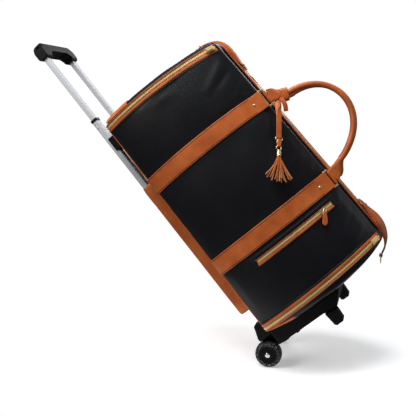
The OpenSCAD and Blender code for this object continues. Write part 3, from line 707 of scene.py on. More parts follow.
def pocket():
    """The pocket zip: trim below, a thin trim above, a black welt over it and black end tabs."""
    far, near = BACK_Y - 279, BACK_Y - 90
    pts, outs, ups = surface_path(-1, far, near, POCKET_Z, 90, 1.5)
    welt, welt_outs, welt_ups = surface_path(-1, far - 9, near + 10, POCKET_Z + 10.5, 90, 1.6)
    over, under = welt + UP * 5.4 + welt_outs * 1.4, pts - UP * 11.2 + outs * 1.0
    parts = [
        zip_run("pocket_zip", pts, outs, ups, 7.5, (4.0, 9.4), (4.0, 6.2)),
        sweep("welt", welt, welt_outs, welt_ups, crowned(3.6, 2.6, 1.1, 4), BLACK),
        stitches(over, welt_outs, BLACK_THREAD, 2.4, 3.8, 0.4),
        stitches(under, outs, BLACK_THREAD, 2.4, 3.8, 0.34),
    ]
    for y0, y1 in ((near, near + 10), (far - 10, far)):
        c, o, u = surface_path(-1, y0, y1, POCKET_Z - 1.5, 9, 1.7)
        parts.append(sweep("end_tab", c, o, u, crowned(9.0, 2.6, 1.2, 4), BLACK))
        row = c[4] + UP * np.linspace(-7, 7, 9)[:, None] + o[4] * 2.9
        parts.append(stitches(row, o[4], BLACK_THREAD, 2.4, 3.4, 0.36))
    return join("pocket_zip", parts)


def piping():
    """Thin tan piping down the seam beside the back panel."""
    parts = []
    for s in (-1, 1):
        stops = (RIM_LOW + 14, STRAPS[0] - 20.5, STRAPS[0] + 20.5, STRAPS[1] - 20.5, STRAPS[1] + 20.5,
                 RIM_HIGH - 14)
        for z0, z1 in zip(stops[::2], stops[1::2]):
            pts = []
            for z in np.linspace(z0, z1, 40):
                d, e = corner_distance(z)
                p, n = station(s, d + 0.55 * (e - d), z, 0.6, "d")
                pts.append(p + n * 0.25 * math.sin(z * 0.05))
            parts.append(tube("piping", pts, 1.5, TAN, 10, up=(0, 1, 0)))
    return join("edge_piping_leather", parts)


def patch(s, top):
    """A leather patch that wraps the back corner of an end."""
    sign = 1 if top else -1
    rows = []
    for u in np.linspace(0, 1, 26):
        row = []
        for v in np.linspace(0, 1, 22):
            y = BACK_Y - 78 + 12 * (1 - v) ** 2 + u * (72 - 12 * (1 - v) ** 2)
            reach = math.sqrt(SIDE_R**2 - (y - MID_Y) ** 2) - SIDE_OFF
            if y > CORNER_Y:
                reach = min(reach, CORNER_X + math.sqrt(max(CORNER_R**2 - (y - CORNER_Y) ** 2, 0)))
            x = (reach - 4) * (0.42 + 0.58 * v) * s
            t = min(max(abs(x) / reach, (y - CROWN_Y) / (BACK_Y - CROWN_Y)), 0.995)
            border = min(min(u, 1 - u) * 30, min(v, 1 - v) * 30, 1)
            rise = rise_over_rim(top, x, y, t) + 0.6 + 1.5 * border
            row.append((x, y, rim(top, y) + sign * rise))
        rows.append(row)
    return grid(f"end_patch_{end_name(top)}_{side_name(s)}", rows, TAN)


def smooth_line(points, count):
    """A smooth line through given points (Catmull-Rom)."""
    p = np.asarray(points, float)
    p = np.concatenate([[2 * p[0] - p[1]], p, [2 * p[-1] - p[-2]]])
    out = []
    for i in range(1, len(p) - 2):
        for t in np.linspace(0, 1, 24, endpoint=False):
            a, b, c, d = p[i - 1], p[i], p[i + 1], p[i + 2]
            bend = (2 * a - 5 * b + 4 * c - d) * t**2 + (3 * b - a - 3 * c + d) * t**3
            out.append(0.5 * (2 * b + (c - a) * t + bend))
    out.append(p[-2])
    out = np.array(out)
    steps = lengths(out)
    return resample(np.linspace(0, steps[-1], count), steps, out)


def end_tab(top):
    """The wide leather tab that folds over an end of the ridge and carries a D-ring."""
    if top:
        path = [(-8.4, 566), (-9.2, 590), (-11, 616), (-9, 637), (1, 656), (17, 666), (36, 672.5)]
        tip, widest, curl = (RIDGE_Y + 41, 674), (11.0, 22.0, 10.0), 8.0
    else:
        path = [(-22, 180), (-25, 166), (-29, 150), (-34, 127), (-32, 102), (-20, 77), (-1, 60), (12, 53)]
        tip, widest, curl = (RIDGE_Y + 16, 49.5), (11.0, 27.0, 10.0), 14.0
    path = [(RIDGE_Y + y, z) for y, z in path]
    line = smooth_line(path, 60)
    t = heading(line)
    out2 = np.stack([-t[:, 1], t[:, 0]], -1) if top else np.stack([t[:, 1], -t[:, 0]], -1)
    centre, outs = np.insert(line, 0, 0.0, axis=1), np.insert(out2, 0, 0.0, axis=1)
    if outs[20][1] > 0:
        outs = -outs
    across = np.repeat([[1.0, 0, 0]], 60, 0)
    share = np.linspace(0, 1, 60)
    middle = 0.42 if top else 0.46
    root, belly, end = widest
    halves = np.interp(share, [0, 0.04, middle, 0.9, 1], [root - 3, root, belly, end + 1.5, end - 0.5])
    window = np.hanning(13)
    halves = np.convolve(np.pad(halves, 6, mode="edge"), window / window.sum(), "valid")
    halves[:3] -= [3.0, 1.4, 0.4]
    bows = curl * np.sin(math.pi * np.clip((share - 0.06) / (0.9 - 0.06), 0, 1)) ** 1.2
    profiles = []
    for q, half, bow in zip(share, halves, bows):
        rows = np.array(crowned(half, 2.6, 1.1))
        off = np.abs(rows[:, 0]) / half
        rows[:, 1] -= bow * off**2 - 0.5 * math.sin(q * 19) * smooth(0.3, 0.8, off)
        profiles.append(rows)
    name = f"end_tab_{end_name(top)}_leather"
    parts = [sweep(name, centre, outs, across, np.array(profiles), TAN, edge=TAN_EDGE)]
    for e in (-1, 1):
        place = (halves - 2.8) / halves
        rise = 2.65 - bows * place**2 + 0.5 * np.sin(share * 19) * smooth(0.3, 0.8, place)
        edge = centre + across * (e * (halves - 2.8))[:, None] + outs * rise[:, None]
        parts.append(stitches(edge[2:-2], outs[2:-2], THREAD, 3.0, 4.2, 0.5))
        parts.append(channel(edge[2:-2], outs[2:-2], across[2:-2]))
    turn = np.linspace(0, 1.75 * math.pi, 22)
    ring = np.stack([np.cos(turn), np.sin(turn)], -1)
    verts = []
    for x in np.linspace(-9.6, 9.6, 9):
        outline = np.concatenate([ring * (3.9 - 0.5 * (abs(x) > 9)), ring[::-1] * 1.7])
        verts += [(x, tip[0] + c, tip[1] + d) for c, d in outline]
    faces = grid_faces(9, 44, False, True) + [tuple(range(43, -1, -1)), tuple(range(8 * 44, 9 * 44))]
    parts.append(make("fold", verts, faces, TAN))
    return join(name, parts)


def rivet(name, place):
    """A domed rivet head with a raised rim."""
    outline = [(0, 2.1), (1.2, 2.0), (2.2, 1.6), (2.7, 1.15), (3.0, 1.25), (3.4, 1.1), (3.55, 0.7),
               (3.5, 0.1), (3.2, -0.6)]
    return lathe(name, outline, place, GOLD, 32)


def aim(point, out, up=(0, 0, 1)):
    """A place at a point whose Z axis is out."""
    z = Vector(out).normalized()
    x = Vector(up).cross(z).normalized()
    y = z.cross(x)
    m = Matrix((x, y, z)).transposed().to_4x4()
    m.translation = Vector(point)
    return m


# ---- carry handles and tassel ----


def handle_line():
    """The handle's middle line as (reach from the hinge, height)."""
    rows = [(1.5, 483), (9, 480), (17, 473)]
    for degrees in range(84, -85, -7):
        a = math.radians(degrees)
        r = 100.5 + 7.0 * math.cos(2.3 * (a - math.radians(14)))
        rows.append((23 + r * math.cos(a), 369 + r * math.sin(a)))
    rows += [(19, 266), (9, 259.5), (1.5, 256)]
    return smooth_line(rows, 220)


def handle_space(s):
    """Gives what turns (reach, height, out) of a handle's own place into a point, and its out direction."""
    lean = math.radians(13)
    along = np.array([-s * math.sin(lean), -math.cos(lean), 0])
    out = np.array([s * math.cos(lean), -math.sin(lean), 0])
    base = np.array([s * HINGE_X, HINGE_Y, 0])
    return lambda reach, z, o=0.0: base + along * reach + UP * z + out * o, out


def handle(s):
    """A rolled handle: flat chapes folded round the rings, gathered into a stitched roll."""
    place, out = handle_space(s)
    centre = np.array([place(r, z) for r, z in handle_line()])
    tangent = heading(centre)
    across = unit(np.cross(out, tangent))
    outs = np.repeat(out[None], len(centre), 0)
    steps = lengths(centre)
    turn = np.linspace(0, 2 * math.pi, 28, endpoint=False)
    profiles = []
    for d in steps:
        q = min(d, steps[-1] - d)
        k = smooth(4, 40, q)
        wide = 15.5 * (1 - k) + 6.4 * k
        deep = 2.7 * (1 - k) + 6.4 * k
        power = 0.55 + 0.45 * k
        c, t = np.cos(turn), np.sin(turn)
        rows = np.stack([wide * np.sign(c) * np.abs(c) ** power, deep * np.sign(t) * np.abs(t) ** power], -1)
        dent = 1.6 * (1 - k) * smooth(8, 22, q) * np.cos(rows[:, 0] / 5.5) ** 2
        rows[:, 1] -= dent * np.sign(rows[:, 1]) * 0.5
        profiles.append(rows)
    name = f"handle_{side_name(s)}_leather"
    parts = [sweep(name, centre, outs, across, np.array(profiles), TAN)]
    inner = slice(26, 194)
    inside = math.copysign(6.0, np.dot(across[110], place(0, 369) - centre[110]))
    welt = centre[inner] + across[inner] * inside + outs[inner] * 1.6
    parts.append(tube("welt", welt, 1.15, TAN_EDGE, 8, up=tuple(out)))
    inward = unit(welt - centre[inner])
    for side in (-1, 1):
        row = centre[inner] + unit(inward + outs[inner] * 0.75 * side) * 6.55
        parts.append(stitches(row, unit(row - centre[inner]), THREAD, 2.8, 4.6, 0.4))
    for z, lift in ((483, 1), (256, -1)):
        ring = np.array([(math.cos(a), math.sin(a)) for a in np.linspace(0, 2 * math.pi, 25)[:-1]])
        verts = []
        for h in np.linspace(-14.6, 14.6, 9):
            r = 4.15 - 0.5 * (abs(h) > 14)
            verts += [place(c * r, z + h, d * r) for c, d in ring]
        for h in np.linspace(14.6, -14.6, 9):
            verts += [place(c * 1.75, z + h, d * 1.75) for c, d in ring]
        parts.append(make("fold", verts, grid_faces(18, 24, True, True), TAN))
        for e in (-1, 1):
            rows = [place(q, z - lift * (q - 6) * 0.25 + e * (12.6 - 0.18 * (q - 6)), 3.0)
                    for q in np.linspace(5, 17, 8)]
            parts.append(stitches(rows, out, THREAD, 2.6, 3.8, 0.4))
    return join(name, parts)


def keeper():
    """The leather band round the left handle's end that holds the tassel, with its loose tongue."""
    place, out = handle_space(-1)
    centre = np.array([place(r, z) for r, z in handle_line()])
    at = 22
    c, t = centre[at], heading(centre)[at]
    a = unit(np.cross(out, t))
    turn = np.linspace(0, 2 * math.pi, 40, endpoint=False)
    rows = []
    for w, grow in ((-8.2, 0.0), (-8.6, 0.9), (-8.2, 1.9), (-4, 2.3), (0, 2.4), (4, 2.3), (8.2, 1.9),
                    (8.6, 0.9), (8.2, 0.0)):
        for x in turn:
            k, h = math.cos(x), math.sin(x)
            pa = (12.6 + grow) * math.copysign(abs(k) ** 0.6, k)
            po = (7.6 + grow) * math.copysign(abs(h) ** 0.6, h)
            rows.append(c + t * w + a * pa + out * po)
    parts = [make("band", rows, grid_faces(9, 40, True, True), TAN)]
    for w in (-6.6, 6.6):
        row = [c + t * w + a * q + out * 9.7 for q in np.linspace(-9, 9, 12)]
        parts.append(stitches(row, out, THREAD, 2.4, 3.6, 0.4))
    tongue = smooth_line([place(18, 461, 9.0), place(20, 452, 10.5), place(17, 441, 10.5),
                          place(11, 431, 9.0)], 30)
    tt = heading(tongue)
    side = unit(np.cross(out, tt))
    parts.append(sweep("tongue", tongue, unit(np.cross(tt, side)), side, crowned(5.0, 2.0, 0.8), TAN))
    return join("handle_keeper_leather", parts)


def rotation(degrees, axis):
    return Matrix.Rotation(math.radians(degrees), 4, axis)


KNOT = Matrix.Translation((-58, BACK_Y - 321, 452)) @ rotation(220, "Z") @ rotation(-42, "X")


def hang(points):
    """Points of the tassel's own place: +X away from the bag, -Z the way it hangs."""
    p = np.asarray(points, float)
    return p @ np.array(KNOT.to_3x3()).T + np.array(KNOT.translation)


def turned(v):
    return np.asarray(v, float) @ np.array(KNOT.to_3x3()).T


def band(name, points, faces_out, half, thick, material, edge=0.6):
    """A flat band along points of the tassel's place."""
    c = hang(points)
    t = heading(c)
    o = turned(faces_out)
    a = unit(np.cross(o, t))
    o = unit(np.cross(t, a))
    half = np.broadcast_to(half, (len(c),))
    return sweep(name, c, o, a, np.array([crowned(h, thick, edge, 3) for h in half]), material)


def tassel_strap():
    """Two layers of strap that twist below the knot and lie flat above the buckle."""
    n = 50
    z = np.linspace(8, -80, n)
    q = (8 - z) / 88
    front = np.stack([4.4 + 1.4 * np.sin(q * math.pi),
                      3.4 * np.exp(-((q - 0.12) / 0.13) ** 2) - 1.2 * (1 - q), z], -1)
    back = np.stack([2.2 + 0.6 * q, -4.2 * np.exp(-((q - 0.16) / 0.15) ** 2) + 0.6, z], -1)
    twist = 0.55 * np.exp(-((q - 0.1) / 0.2) ** 2)
    face = np.stack([np.cos(twist), np.sin(twist), 0 * z], -1)
    half = 3.6 + 2.4 * smooth(0.1, 0.42, q)
    parts = [band("front", front, face, half, 1.6, TAN),
             band("back", back, face * [1, -1, 1], half - 0.3, 1.4, TAN)]
    for e in (-1, 1):
        row = front[16:] + [1.7, 0, 0]
        row[:, 1] += e * (half[16:] - 1.5)
        parts.append(stitches(hang(row), turned((1, 0, 0)), THREAD, 2.0, 3.0, 0.3))
    z = np.linspace(-82, -99, 14)
    bit = np.stack([4.2 + 0 * z, 0 * z + 0.4, z], -1)
    parts.append(band("bit", bit, (1, 0, 0), 4.6 - 0.8 * smooth(-90, -99, z), 1.8, TAN))
    parts.append(band("bit_back", bit - [2.4, 0, 0], (-1, 0, 0), 4.2, 1.4, TAN))
    return join("tassel_strap_leather", parts)


def squared(v, power):
    """Turns a sine or cosine into one that goes round a rectangle with soft corners."""
    return np.sign(v) * np.abs(v) ** power


def tassel_rings():
    """The buckle, the link and the ring between the strap and the cap."""
    turn = np.linspace(0, 2 * math.pi, 40, endpoint=False)
    c, s, flat = np.cos(turn), np.sin(turn), 0 * turn
    rings = (
        ("buckle", (4.7 + flat, 7.6 * squared(c, 0.55), -81.5 + 3.4 * squared(s, 0.55)), 0.85),
        ("link", (4.4 + 1.2 * c, 5.2 * s, -89.5 + 4.6 * c), 0.8),
        ("ring", (4.6 + flat, 5.4 * s, -102 + 5.6 * c), 0.95),
    )
    up = tuple(turned([1, 0, 0]))
    return join("tassel_rings", [tube(name, hang(np.stack(ring, -1)), radius, GOLD, 10, True, up)
                                 for name, ring, radius in rings])


def tassel_cap():
    place = KNOT @ Matrix.Translation((4.6, 0, 0))
    outline = [(0, -106.5), (1.5, -106.6), (2.0, -107.3), (3.9, -108), (4.6, -108.9), (4.75, -110),
               (4.45, -110.7), (4.7, -111.4), (4.75, -118.2), (4.4, -118.9), (4.7, -119.5), (4.9, -120.6),
               (4.6, -121.6), (3.6, -121.8), (0, -121.0)]
    return lathe("tassel_cap_metal", outline, place, GOLD, 40)


def tassel_fringe():
    """Thin strips that spread below the cap, each with its own bend and a paler back."""
    parts = []
    plan = [
        (-31, 56, 1.2), (-25, 59, -0.8), (-20, 57, 0.5), (-14, 60, -0.6), (-9, 58, 1.0), (-4, 61, -0.5),
        (1, 59, 0.7), (6, 61, -1.0), (11, 59, 0.6), (16, 61, -0.6), (21, 58, 1.0), (26, 60, -0.7),
        (30, 57, 0.4), (-17, 52, -1.2), (4, 54, 1.3), (13, 53, -1.4),
    ]
    for k, (lean, length, bend) in enumerate(plan):
        q = np.linspace(0, 1, 22)
        a = math.radians(lean)
        out = 4.6 + (k % 3 - 1) * 1.5 + bend * 2.2 * q**2
        side = 2.2 * math.sin(a) * 1.4 + np.sin(a) * length * q * (0.55 + 0.45 * q)
        side = side + bend * np.sin(q * math.pi) * 1.6
        down = -118.5 - math.cos(a) * length * q
        path = np.stack([out, side, down], -1)
        face_turn = 0.5 * bend * q + 0.2 * (k % 2)
        face = np.stack([np.cos(face_turn), np.sin(face_turn), 0 * q], -1)
        half = 0.9 + 0.45 * smooth(0, 0.5, q)
        parts.append(band("strip", path, face, half, 0.9, TAN if k % 3 else SUEDE, 0.3))
        parts.append(band("strip_back", path - [0.15, 0, 0], -face, half, 0.35, SUEDE, 0.15))
    return join("tassel_fringe_leather", parts)


def knot():
    """The short loop that ties the tassel to the keeper."""
    q = np.linspace(-1, 1, 26)
    c = np.stack([-58 + 5.0 * np.cos(q * 1.9), (BACK_Y - 321) + 5.0 * np.sin(q * 1.9) * 0.8,
                  452 + 5.5 * np.cos(q * 1.2)], -1)
    t = heading(c)
    o = unit(c - np.array([-54.0, BACK_Y - 320, 452]))
    a = unit(np.cross(o, t))
    return sweep("tassel_knot_leather", c, unit(np.cross(t, a)), a, crowned(3.4, 1.8, 0.8), TAN)


# ---- trolley ----


def softened(name, node, voxel, turns):
    """A moulded piece from a CAD node: its edges rounded by remeshing and smoothing."""
    obj = bpy.data.objects.new(name, nodes[node].data.copy())
    bpy.context.scene.collection.objects.link(obj)
    remesh = obj.modifiers.new("remesh", "REMESH")
    remesh.mode, remesh.voxel_size, remesh.use_smooth_shade = "VOXEL", voxel * 0.001, True
    ease = obj.modifiers.new("ease", "SMOOTH")
    ease.factor, ease.iterations = 0.5, turns
    graph = bpy.context.evaluated_depsgraph_get()
    mesh = bpy.data.meshes.new_from_object(obj.evaluated_get(graph))
    obj.modifiers.clear()
    obj.data = mesh
    mesh.materials.clear()
    mesh.materials.append(PLASTIC)
    for p in mesh.polygons:
        p.use_smooth = True
    return obj


def rounded(half_x, half_y, r, flat=14, arc=5):
    """The outline of a rectangle with round corners."""
    rows = []
    for quarter in range(4):
        a = quarter * math.pi / 2
        cx = (half_x - r) * (1 if quarter in (0, 3) else -1)
        cy = (half_y - r) * (1 if quarter in (0, 1) else -1)
        rows += [(cx + r * math.cos(a + q), cy + r * math.sin(a + q))
                 for q in np.linspace(0, math.pi / 2, arc)]
        if quarter in (0, 2):
            rows += [(cx + (-2 * cx) * q, cy + r * math.sin(a + math.pi / 2))
                     for q in np.linspace(0, 1, flat + 2)[1:-1]]
    return np.array(rows)


def pucker(z):
    """How far the sleeve's leather gathers near its top."""
    return 2.6 * math.exp(-(((z - PUCKER_Z) / 20) ** 2))


def sleeve():
    """Leather sewn over the trolley's housing: soft edges, a slight pucker at its top, stitched borders."""
    half, low, high = TUBE_X + 12.0, SLEEVE_LOW, SLEEVE_HIGH
    y0, y1 = BACK_Y + 0.2, TUBE_Y + 8.75
    rows = []
    for z in np.linspace(low, high, 150):
        near_end = min(z - low, high - z)
        wave = 0.9 * math.sin(z * 0.035) * smooth(134, 160, z) * (1 - smooth(480, 505, z))
        end = 4.0 * (1 - min(1, near_end / 9.0)) ** 2
        corner = 7.0 * (1 - math.sqrt(max(0, 1 - max(0, 1 - near_end / 10) ** 2)))
        x, y = rounded(half - corner, (y1 - y0) / 2, 3.4).T
        bulge = (pucker(z) + wave) * (1 - (x / half) ** 4) - end * 0.3
        y = y + (y0 + y1) / 2 + np.where(y > 5, bulge, 0)
        rows.append(np.stack([x, np.maximum(y, y0), 0 * x + z], -1))
    middles = [rows[k].mean(0) for k in (0, -1)]
    bottom, top = (m + (rows[k] - m) * [0.93, 0.7, 0] for k, m in zip((0, -1), middles))
    rows = [0 * bottom + middles[0], bottom] + rows + [top, 0 * top + middles[1]]
    parts = [grid("sleeve", rows, TAN, wrap_m=True)]
    for s in (-1, 1):
        line = [(s * (half - 7), y1 + 0.2 + pucker(z), z) for z in np.linspace(low + 9, high - 9, 90)]
        parts.append(stitches(line, (0, 1, 0), THREAD, 3.0, 4.4, 0.45))
        line = [(s * (half + 0.3), y0 + 3.6, z) for z in np.linspace(low + 6, high - 6, 60)]
        parts.append(tube("sleeve_welt", line, 1.3, TAN_EDGE, 8, up=(0, 1, 0)))
        line = [(s * (half + 0.5), y0 + 8, z) for z in np.linspace(low + 8, high - 8, 90)]
        parts.append(stitches(line, (s, 0, 0), THREAD, 3.0, 4.4, 0.42))
    for z in (low + 7, high - 7):
        line = [(x, y1 + 0.3, z) for x in np.linspace(-half + 9, half - 9, 60)]
        parts.append(stitches(line, (0, 1, 0), THREAD, 3.0, 4.4, 0.45))
    return join("trolley_sleeve_leather", parts)


def tyre(s):
    """A crowned tyre with a knurled tread and a stepped side wall."""
    name = f"tyre_{side_name(s)}"
    lo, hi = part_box(name)
    c = (lo + hi) / 2 * 1000
    outline = [(21.05, -11.6), (22.2, -12), (25.2, -12), (26.0, -11.5), (27.0, -11.6), (28.3, -10.6),
               (29.2, -9.0), (29.75, -7.2), (29.95, -4.5), (30, 0)]
    outline += [(a, -b) for a, b in outline[-2::-1]]
    outline = np.array(outline)
    n = 240
    turn = np.linspace(0, 2 * math.pi, n, endpoint=False)
    rows = []
    for i, a in enumerate(turn):
        row = []
        for rad, h in outline:
            cut = 0.0
            if rad > 29.1:
                lane = int((h + 12) // 3.4)
                cut = 0.75 if (i + lane * 2) % 5 == 0 else 0.0
                cut += 0.35 if abs(h) == 7.2 else 0
            elif rad > 26.5:
                cut = 0.7 if i % 5 == 0 else 0.0
            row.append((c[0] + h, c[1] + math.cos(a) * (rad - cut), c[2] + math.sin(a) * (rad - cut)))
        rows.append(row)
    return grid(f"{name}_rubber", rows, RUBBER, True, True)


def hub_cap(s):
    """The bright cap on the end of an axle, with a brass centre."""
    place = aim((s * CAP_X, WHEEL_Y, WHEEL_R), (s, 0, 0))
    cap = lathe("cap", [(0, 1.0), (2.0, 1.0), (2.3, 1.5), (4.2, 1.35), (5.2, 0.8), (5.6, 0.1), (5.6, -1.6),
                        (5.2, -2.2)], place, STEEL, 40)
    dot = lathe("dot", [(0, 1.9), (0.9, 1.8), (1.6, 1.4), (1.9, 0.9), (1.9, 0.2)], place, GOLD, 24)
    return join(f"hub_cap_{side_name(s)}", [cap, dot])


def wheel_face(s):
    """Fine radial fins and a rim lip on a wheel's outer face."""
    base = np.array([s * WHEEL_FACE_X, WHEEL_Y, WHEEL_R])
    place = aim(base, (s, 0, 0))
    lip = lathe("lip", [(20.9, -1.5), (20.8, 0.6), (20.2, 1.1), (19.5, 0.9), (19.2, 0.1), (19.2, -1.5)],
                place, HUB, 72)
    boss = lathe("boss", [(5.2, -1), (8.6, -0.6), (8.9, 0.5), (8.3, 0.9), (7.0, 0.9), (6.6, 0.3), (5.2, 0.2)],
                 place, HUB, 48)
    parts = [lip, boss]
    for k in range(1, 28, 2):
        a = 2 * math.pi * k / 28
        line = [base + np.array([s * (0.35 - 0.02 * q), math.cos(a) * q, math.sin(a) * q])
                for q in np.linspace(8.4, 19.6, 6)]
        parts.append(tube("fin", line, 0.38, HUB, 6, up=(1, 0, 0)))
    return join(f"wheel_{side_name(s)}_face", parts)


def pull():
    """The pocket's leather pull: a rounded tongue with a stitched edge, on a small metal link."""
    turn = math.asin((BACK_Y - 261 - MID_Y) / SIDE_R)
    middle = Matrix.Translation((SIDE_OFF, MID_Y, POCKET_Z)) @ Matrix.Rotation(math.pi - turn, 4, "Z")
    base = middle @ Matrix.Translation((SIDE_R + 6.5, 0, 0)) @ rotation(-44, "X")
    put = lambda p: np.asarray(p, float) @ np.array(base.to_3x3()).T + np.array(base.translation)
    z = np.linspace(-6, -36, 30)
    round_end = np.sqrt(np.clip(1 - np.clip((-30 - z) / 6.2, 0, 1) ** 2, 0.02, 1))
    half = round_end * (3.6 + 2.2 * smooth(-6, -24, z))
    c = put(np.stack([0.6 + 0.6 * np.sin((-z - 6) / 30 * 3), 0 * z, z], -1))
    t = heading(c)
    o = np.repeat(put([[1, 0, 0]]) - put([[0, 0, 0]]), 30, 0)
    a = unit(np.cross(o, t))
    parts = [sweep("tongue", c, unit(np.cross(t, a)), a,
                   np.array([crowned(max(h, 0.9), 1.6, 0.6, 3) for h in half]), TAN)]
    for e in (-1, 1):
        row = put(np.stack([2.5 + 0 * z[3:-5], e * (half[3:-5] - 1.5), z[3:-5]], -1))
        parts.append(stitches(row, o[3:-5], THREAD, 1.9, 2.9, 0.3))
    turn = np.linspace(0, 2 * math.pi, 28, endpoint=False)
    ring = [1.0 + 0 * turn, 3.0 * squared(np.cos(turn), 0.7), -4.2 + 4.6 * squared(np.sin(turn), 0.7)]
    parts.append(tube("link", put(np.stack(ring, -1)), 0.8, GOLD, 10, closed=True, up=tuple(o[0])))
    return join("pocket_pull_leather", parts)


# ---- what each piece stands for, and the body that it rides on ----


def add(obj, body, finish_slot, *stands_for):
    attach(obj, body)
    if stands_for:
        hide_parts(*stands_for)
    return obj


def paint(material, *names):
    for name in names:
        obj = nodes[name]
        if not obj.data.materials:
            obj.data.materials.append(material)
        for place in obj.material_slots:
            place.material = material


add(shell(), "bag", "black_leather", "side_panel_left", "side_panel_right", "base_panel", "gusset_left",
    "gusset_right")
add(dome(True), "bag", "black_leather", "end_panel_top")
add(dome(False), "bag", "black_leather", "end_panel_bottom")
for s, side in SIDES:
    for z, end in zip(STRAPS, ("low", "high")):
        add(strap(s, z, f"strap_{side}_{end}"), "bag", "tan_leather", f"straps_{side}")
    for top in (True, False):
        add(patch(s, top), "bag", "tan_leather", "end_patches")
        add(end_zip(s, top), "bag", "tan_leather", "end_zip_tapes", "end_zip_teeth")
add(piping(), "bag", "tan_leather", "edge_piping")
add(ridge_zip(), "bag", "tan_leather", "ridge_zip_tape", "ridge_zip_teeth")
add(pocket(), "bag", "tan_leather", "pocket_zip_tape", "pocket_zip_teeth", "pocket_welt")
add(end_tab(True), "bag", "tan_leather", "end_tab_top")
add(end_tab(False), "bag", "tan_leather", "end_tab_bottom")
for s, side in SIDES:
    for z in STRAPS:
        p, n = station(s, RIDGE_Y + 18, z, 2.4)
        add(rivet(f"rivet_{side}_{int(z)}", aim(p, n)), "bag", "gold_metal", "rivets")
add(rivet("rivet_tab_top", aim((0, RIDGE_Y - 11.6, 580), (0, -1, 0.02))), "bag", "gold_metal", "rivets")
add(rivet("rivet_tab_bottom", aim((0, RIDGE_Y - 29.2, 162), (0, -0.96, 0.26))), "bag", "gold_metal", "rivets")

for s, side in SIDES:
    add(handle(s), f"handle_{side}", "tan_leather", f"handle_{side}")
for shape, body, finish_slot, node in (
    (keeper, "handle_left", "tan_leather", "handle_keeper"),
    (knot, "tassel_knot", "tan_leather", "tassel_knot"),
    (tassel_strap, "tassel", "tan_leather", "tassel_strap"),
    (tassel_rings, "tassel", "gold_metal", "tassel_buckle"),
    (tassel_cap, "tassel", "gold_metal", "tassel_cap"),
    (tassel_fringe, "tassel", "tan_leather", "tassel_fringe"),
    (pull, "pocket_pull", "tan_leather", "pocket_pull"),
):
    add(shape(), body, finish_slot, node)

add(sleeve(), "bag", "tan_leather", "trolley_sleeve")
for piece, body, node, voxel, turns in (
    ("grip", "tow_handle", "grip", 1.1, 8),
    ("bracket", "bag", "top_bracket", 1.0, 5),
    ("collars", "bag", "tube_collars", 0.5, 4),
    ("tray", "bag", "base_tray", 1.3, 6),
    ("feet", "bag", "front_feet", 1.0, 6),
    ("arms", "bag", "wheel_arms", 1.1, 7),
):
    add(softened(f"{piece}_moulded", node, voxel, turns), body, "black_plastic", node)
for s, side in SIDES:
    add(tyre(s), f"wheel_{side}", "tyre_rubber", f"tyre_{side}")
    add(wheel_face(s), f"wheel_{side}", "wheel_plastic")
    add(hub_cap(s), "bag", "steel")

paint(GOLD, "handle_rings", "d_ring_top", "d_ring_bottom", "ridge_slider", "pocket_slider")
paint(TEETH, "slider_top_left", "slider_top_right", "slider_bottom_left", "slider_bottom_right")
paint(ALUMINIUM, "outer_tubes", "inner_tubes")
paint(STEEL, "push_rods", "button_spring", "lock_pin_left", "lock_pin_right", "axles")
paint(BUTTON, "release_button")
paint(HUB, "wheel_left", "wheel_right")
paint(LINING, "pocket_pouch")

# ---- camera, floor and light ----

FORWARD = Vector((0.9552, 0.2918, 0.0499)).normalized()
RIGHT = Vector((0.25907, -0.74233, -0.61793)).normalized()
LIFT = RIGHT.cross(FORWARD)
lens = bpy.data.cameras.new("camera")
lens.lens, lens.sensor_width = 58.0, 36.0
camera = bpy.data.objects.new("camera", lens)
turn = Matrix((RIGHT, LIFT, -FORWARD)).transposed().to_4x4()
turn.translation = Vector((-1.5233, -0.3170, 0.2976))
camera.matrix_world = turn
bpy.context.scene.collection.objects.link(camera)
bpy.context.scene.camera = camera

CENTRE = Vector((0, 0.02, 0.42))


def softbox(name, right, up, back, size, power, colour):
    """A large soft light at a place given in the camera's own directions from the bag's middle."""
    data = bpy.data.lights.new(name, "AREA")
    data.shape, data.size, data.size_y = "RECTANGLE", size[0], size[1]
    data.energy, data.color = power, colour
    obj = bpy.data.objects.new(name, data)
    obj.location = CENTRE + RIGHT * right + LIFT * up - FORWARD * back
    obj.rotation_mode = "QUATERNION"
    obj.rotation_quaternion = (CENTRE - obj.location).to_track_quat("-Z", "Y")
    bpy.context.scene.collection.objects.link(obj)
    return obj


lights = [
    softbox("light_top", -0.4, 1.7, 0.7, (1.5, 1.1), 52, (0.93, 0.96, 1.0)),
    softbox("light_left", -1.6, 0.8, 1.0, (0.8, 1.2), 24, (1.0, 0.98, 0.96)),
    softbox("light_right", 1.7, 0.5, -0.2, (0.8, 1.4), 4, (0.97, 0.98, 1.0)),
    softbox("light_back", 0.3, 1.0, -1.6, (1.6, 1.0), 18, (1.0, 1.0, 1.0)),
]

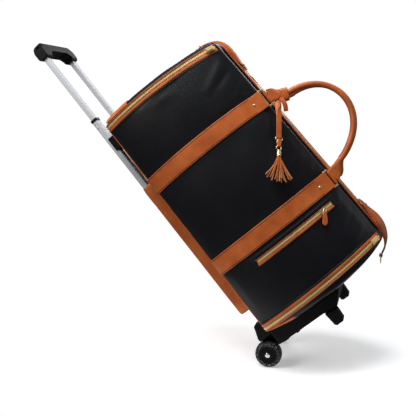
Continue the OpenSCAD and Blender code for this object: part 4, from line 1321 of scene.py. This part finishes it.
FLOOR_UP = Vector((0, -0.64, 0.769)).normalized()
FLOOR_MIDDLE = Vector((0, 0.242, 0.0069))
FLOOR_REACH = 0.5
floor_mesh = bpy.data.meshes.new("floor")
shape = bmesh.new()
bmesh.ops.create_circle(shape, cap_ends=True, cap_tris=True, segments=96, radius=FLOOR_REACH)
shape.to_mesh(floor_mesh)
shape.free()
floor = bpy.data.objects.new("floor", floor_mesh)
floor.rotation_mode = "QUATERNION"
floor.rotation_quaternion = FLOOR_UP.to_track_quat("Z", "Y")
floor.location = FLOOR_MIDDLE - FLOOR_UP * 0.0006
bpy.context.scene.collection.objects.link(floor)

paper, bsdf, put, where = shader("floor_paper", Roughness=0.9, Specular_IOR_Level=0.1,
                                 Emission_Color=(1, 1, 1, 1), Emission_Strength=0.3)
away = put("ShaderNodeVectorMath", [(0, where)], operation="LENGTH").outputs["Value"]
tint = ramp(put, noise(put, where, 400.0, 3.0), [(0.3, (0.93, 0.93, 0.93)), (0.7, (0.95, 0.95, 0.95))])
link(tint, bsdf.inputs["Base Color"])
fade = put("ShaderNodeMapRange", [("Value", away)], interpolation_type="SMOOTHSTEP",
           From_Min=0.22, From_Max=FLOOR_REACH * 0.97, To_Min=1.0, To_Max=0.0)
link(fade.outputs["Result"], bsdf.inputs["Alpha"])
floor_mesh.materials.append(paper)

world = bpy.data.worlds.new("studio")
world.use_nodes = True
bpy.context.scene.world = world
made = world.node_tree.nodes
made.clear()
mix, out = made.new("ShaderNodeMixShader"), made.new("ShaderNodeOutputWorld")
link(made.new("ShaderNodeLightPath").outputs["Is Camera Ray"], mix.inputs["Fac"])
for socket, colour, strength in ((1, (0.93, 0.96, 1.0, 1), 0.16), (2, (1, 1, 1, 1), 1.0)):
    glow = made.new("ShaderNodeBackground")
    glow.inputs["Color"].default_value, glow.inputs["Strength"].default_value = colour, strength
    link(glow.outputs["Background"], mix.inputs[socket])
link(mix.outputs["Shader"], out.inputs["Surface"])
bpy.context.scene.view_settings.view_transform = "Standard"
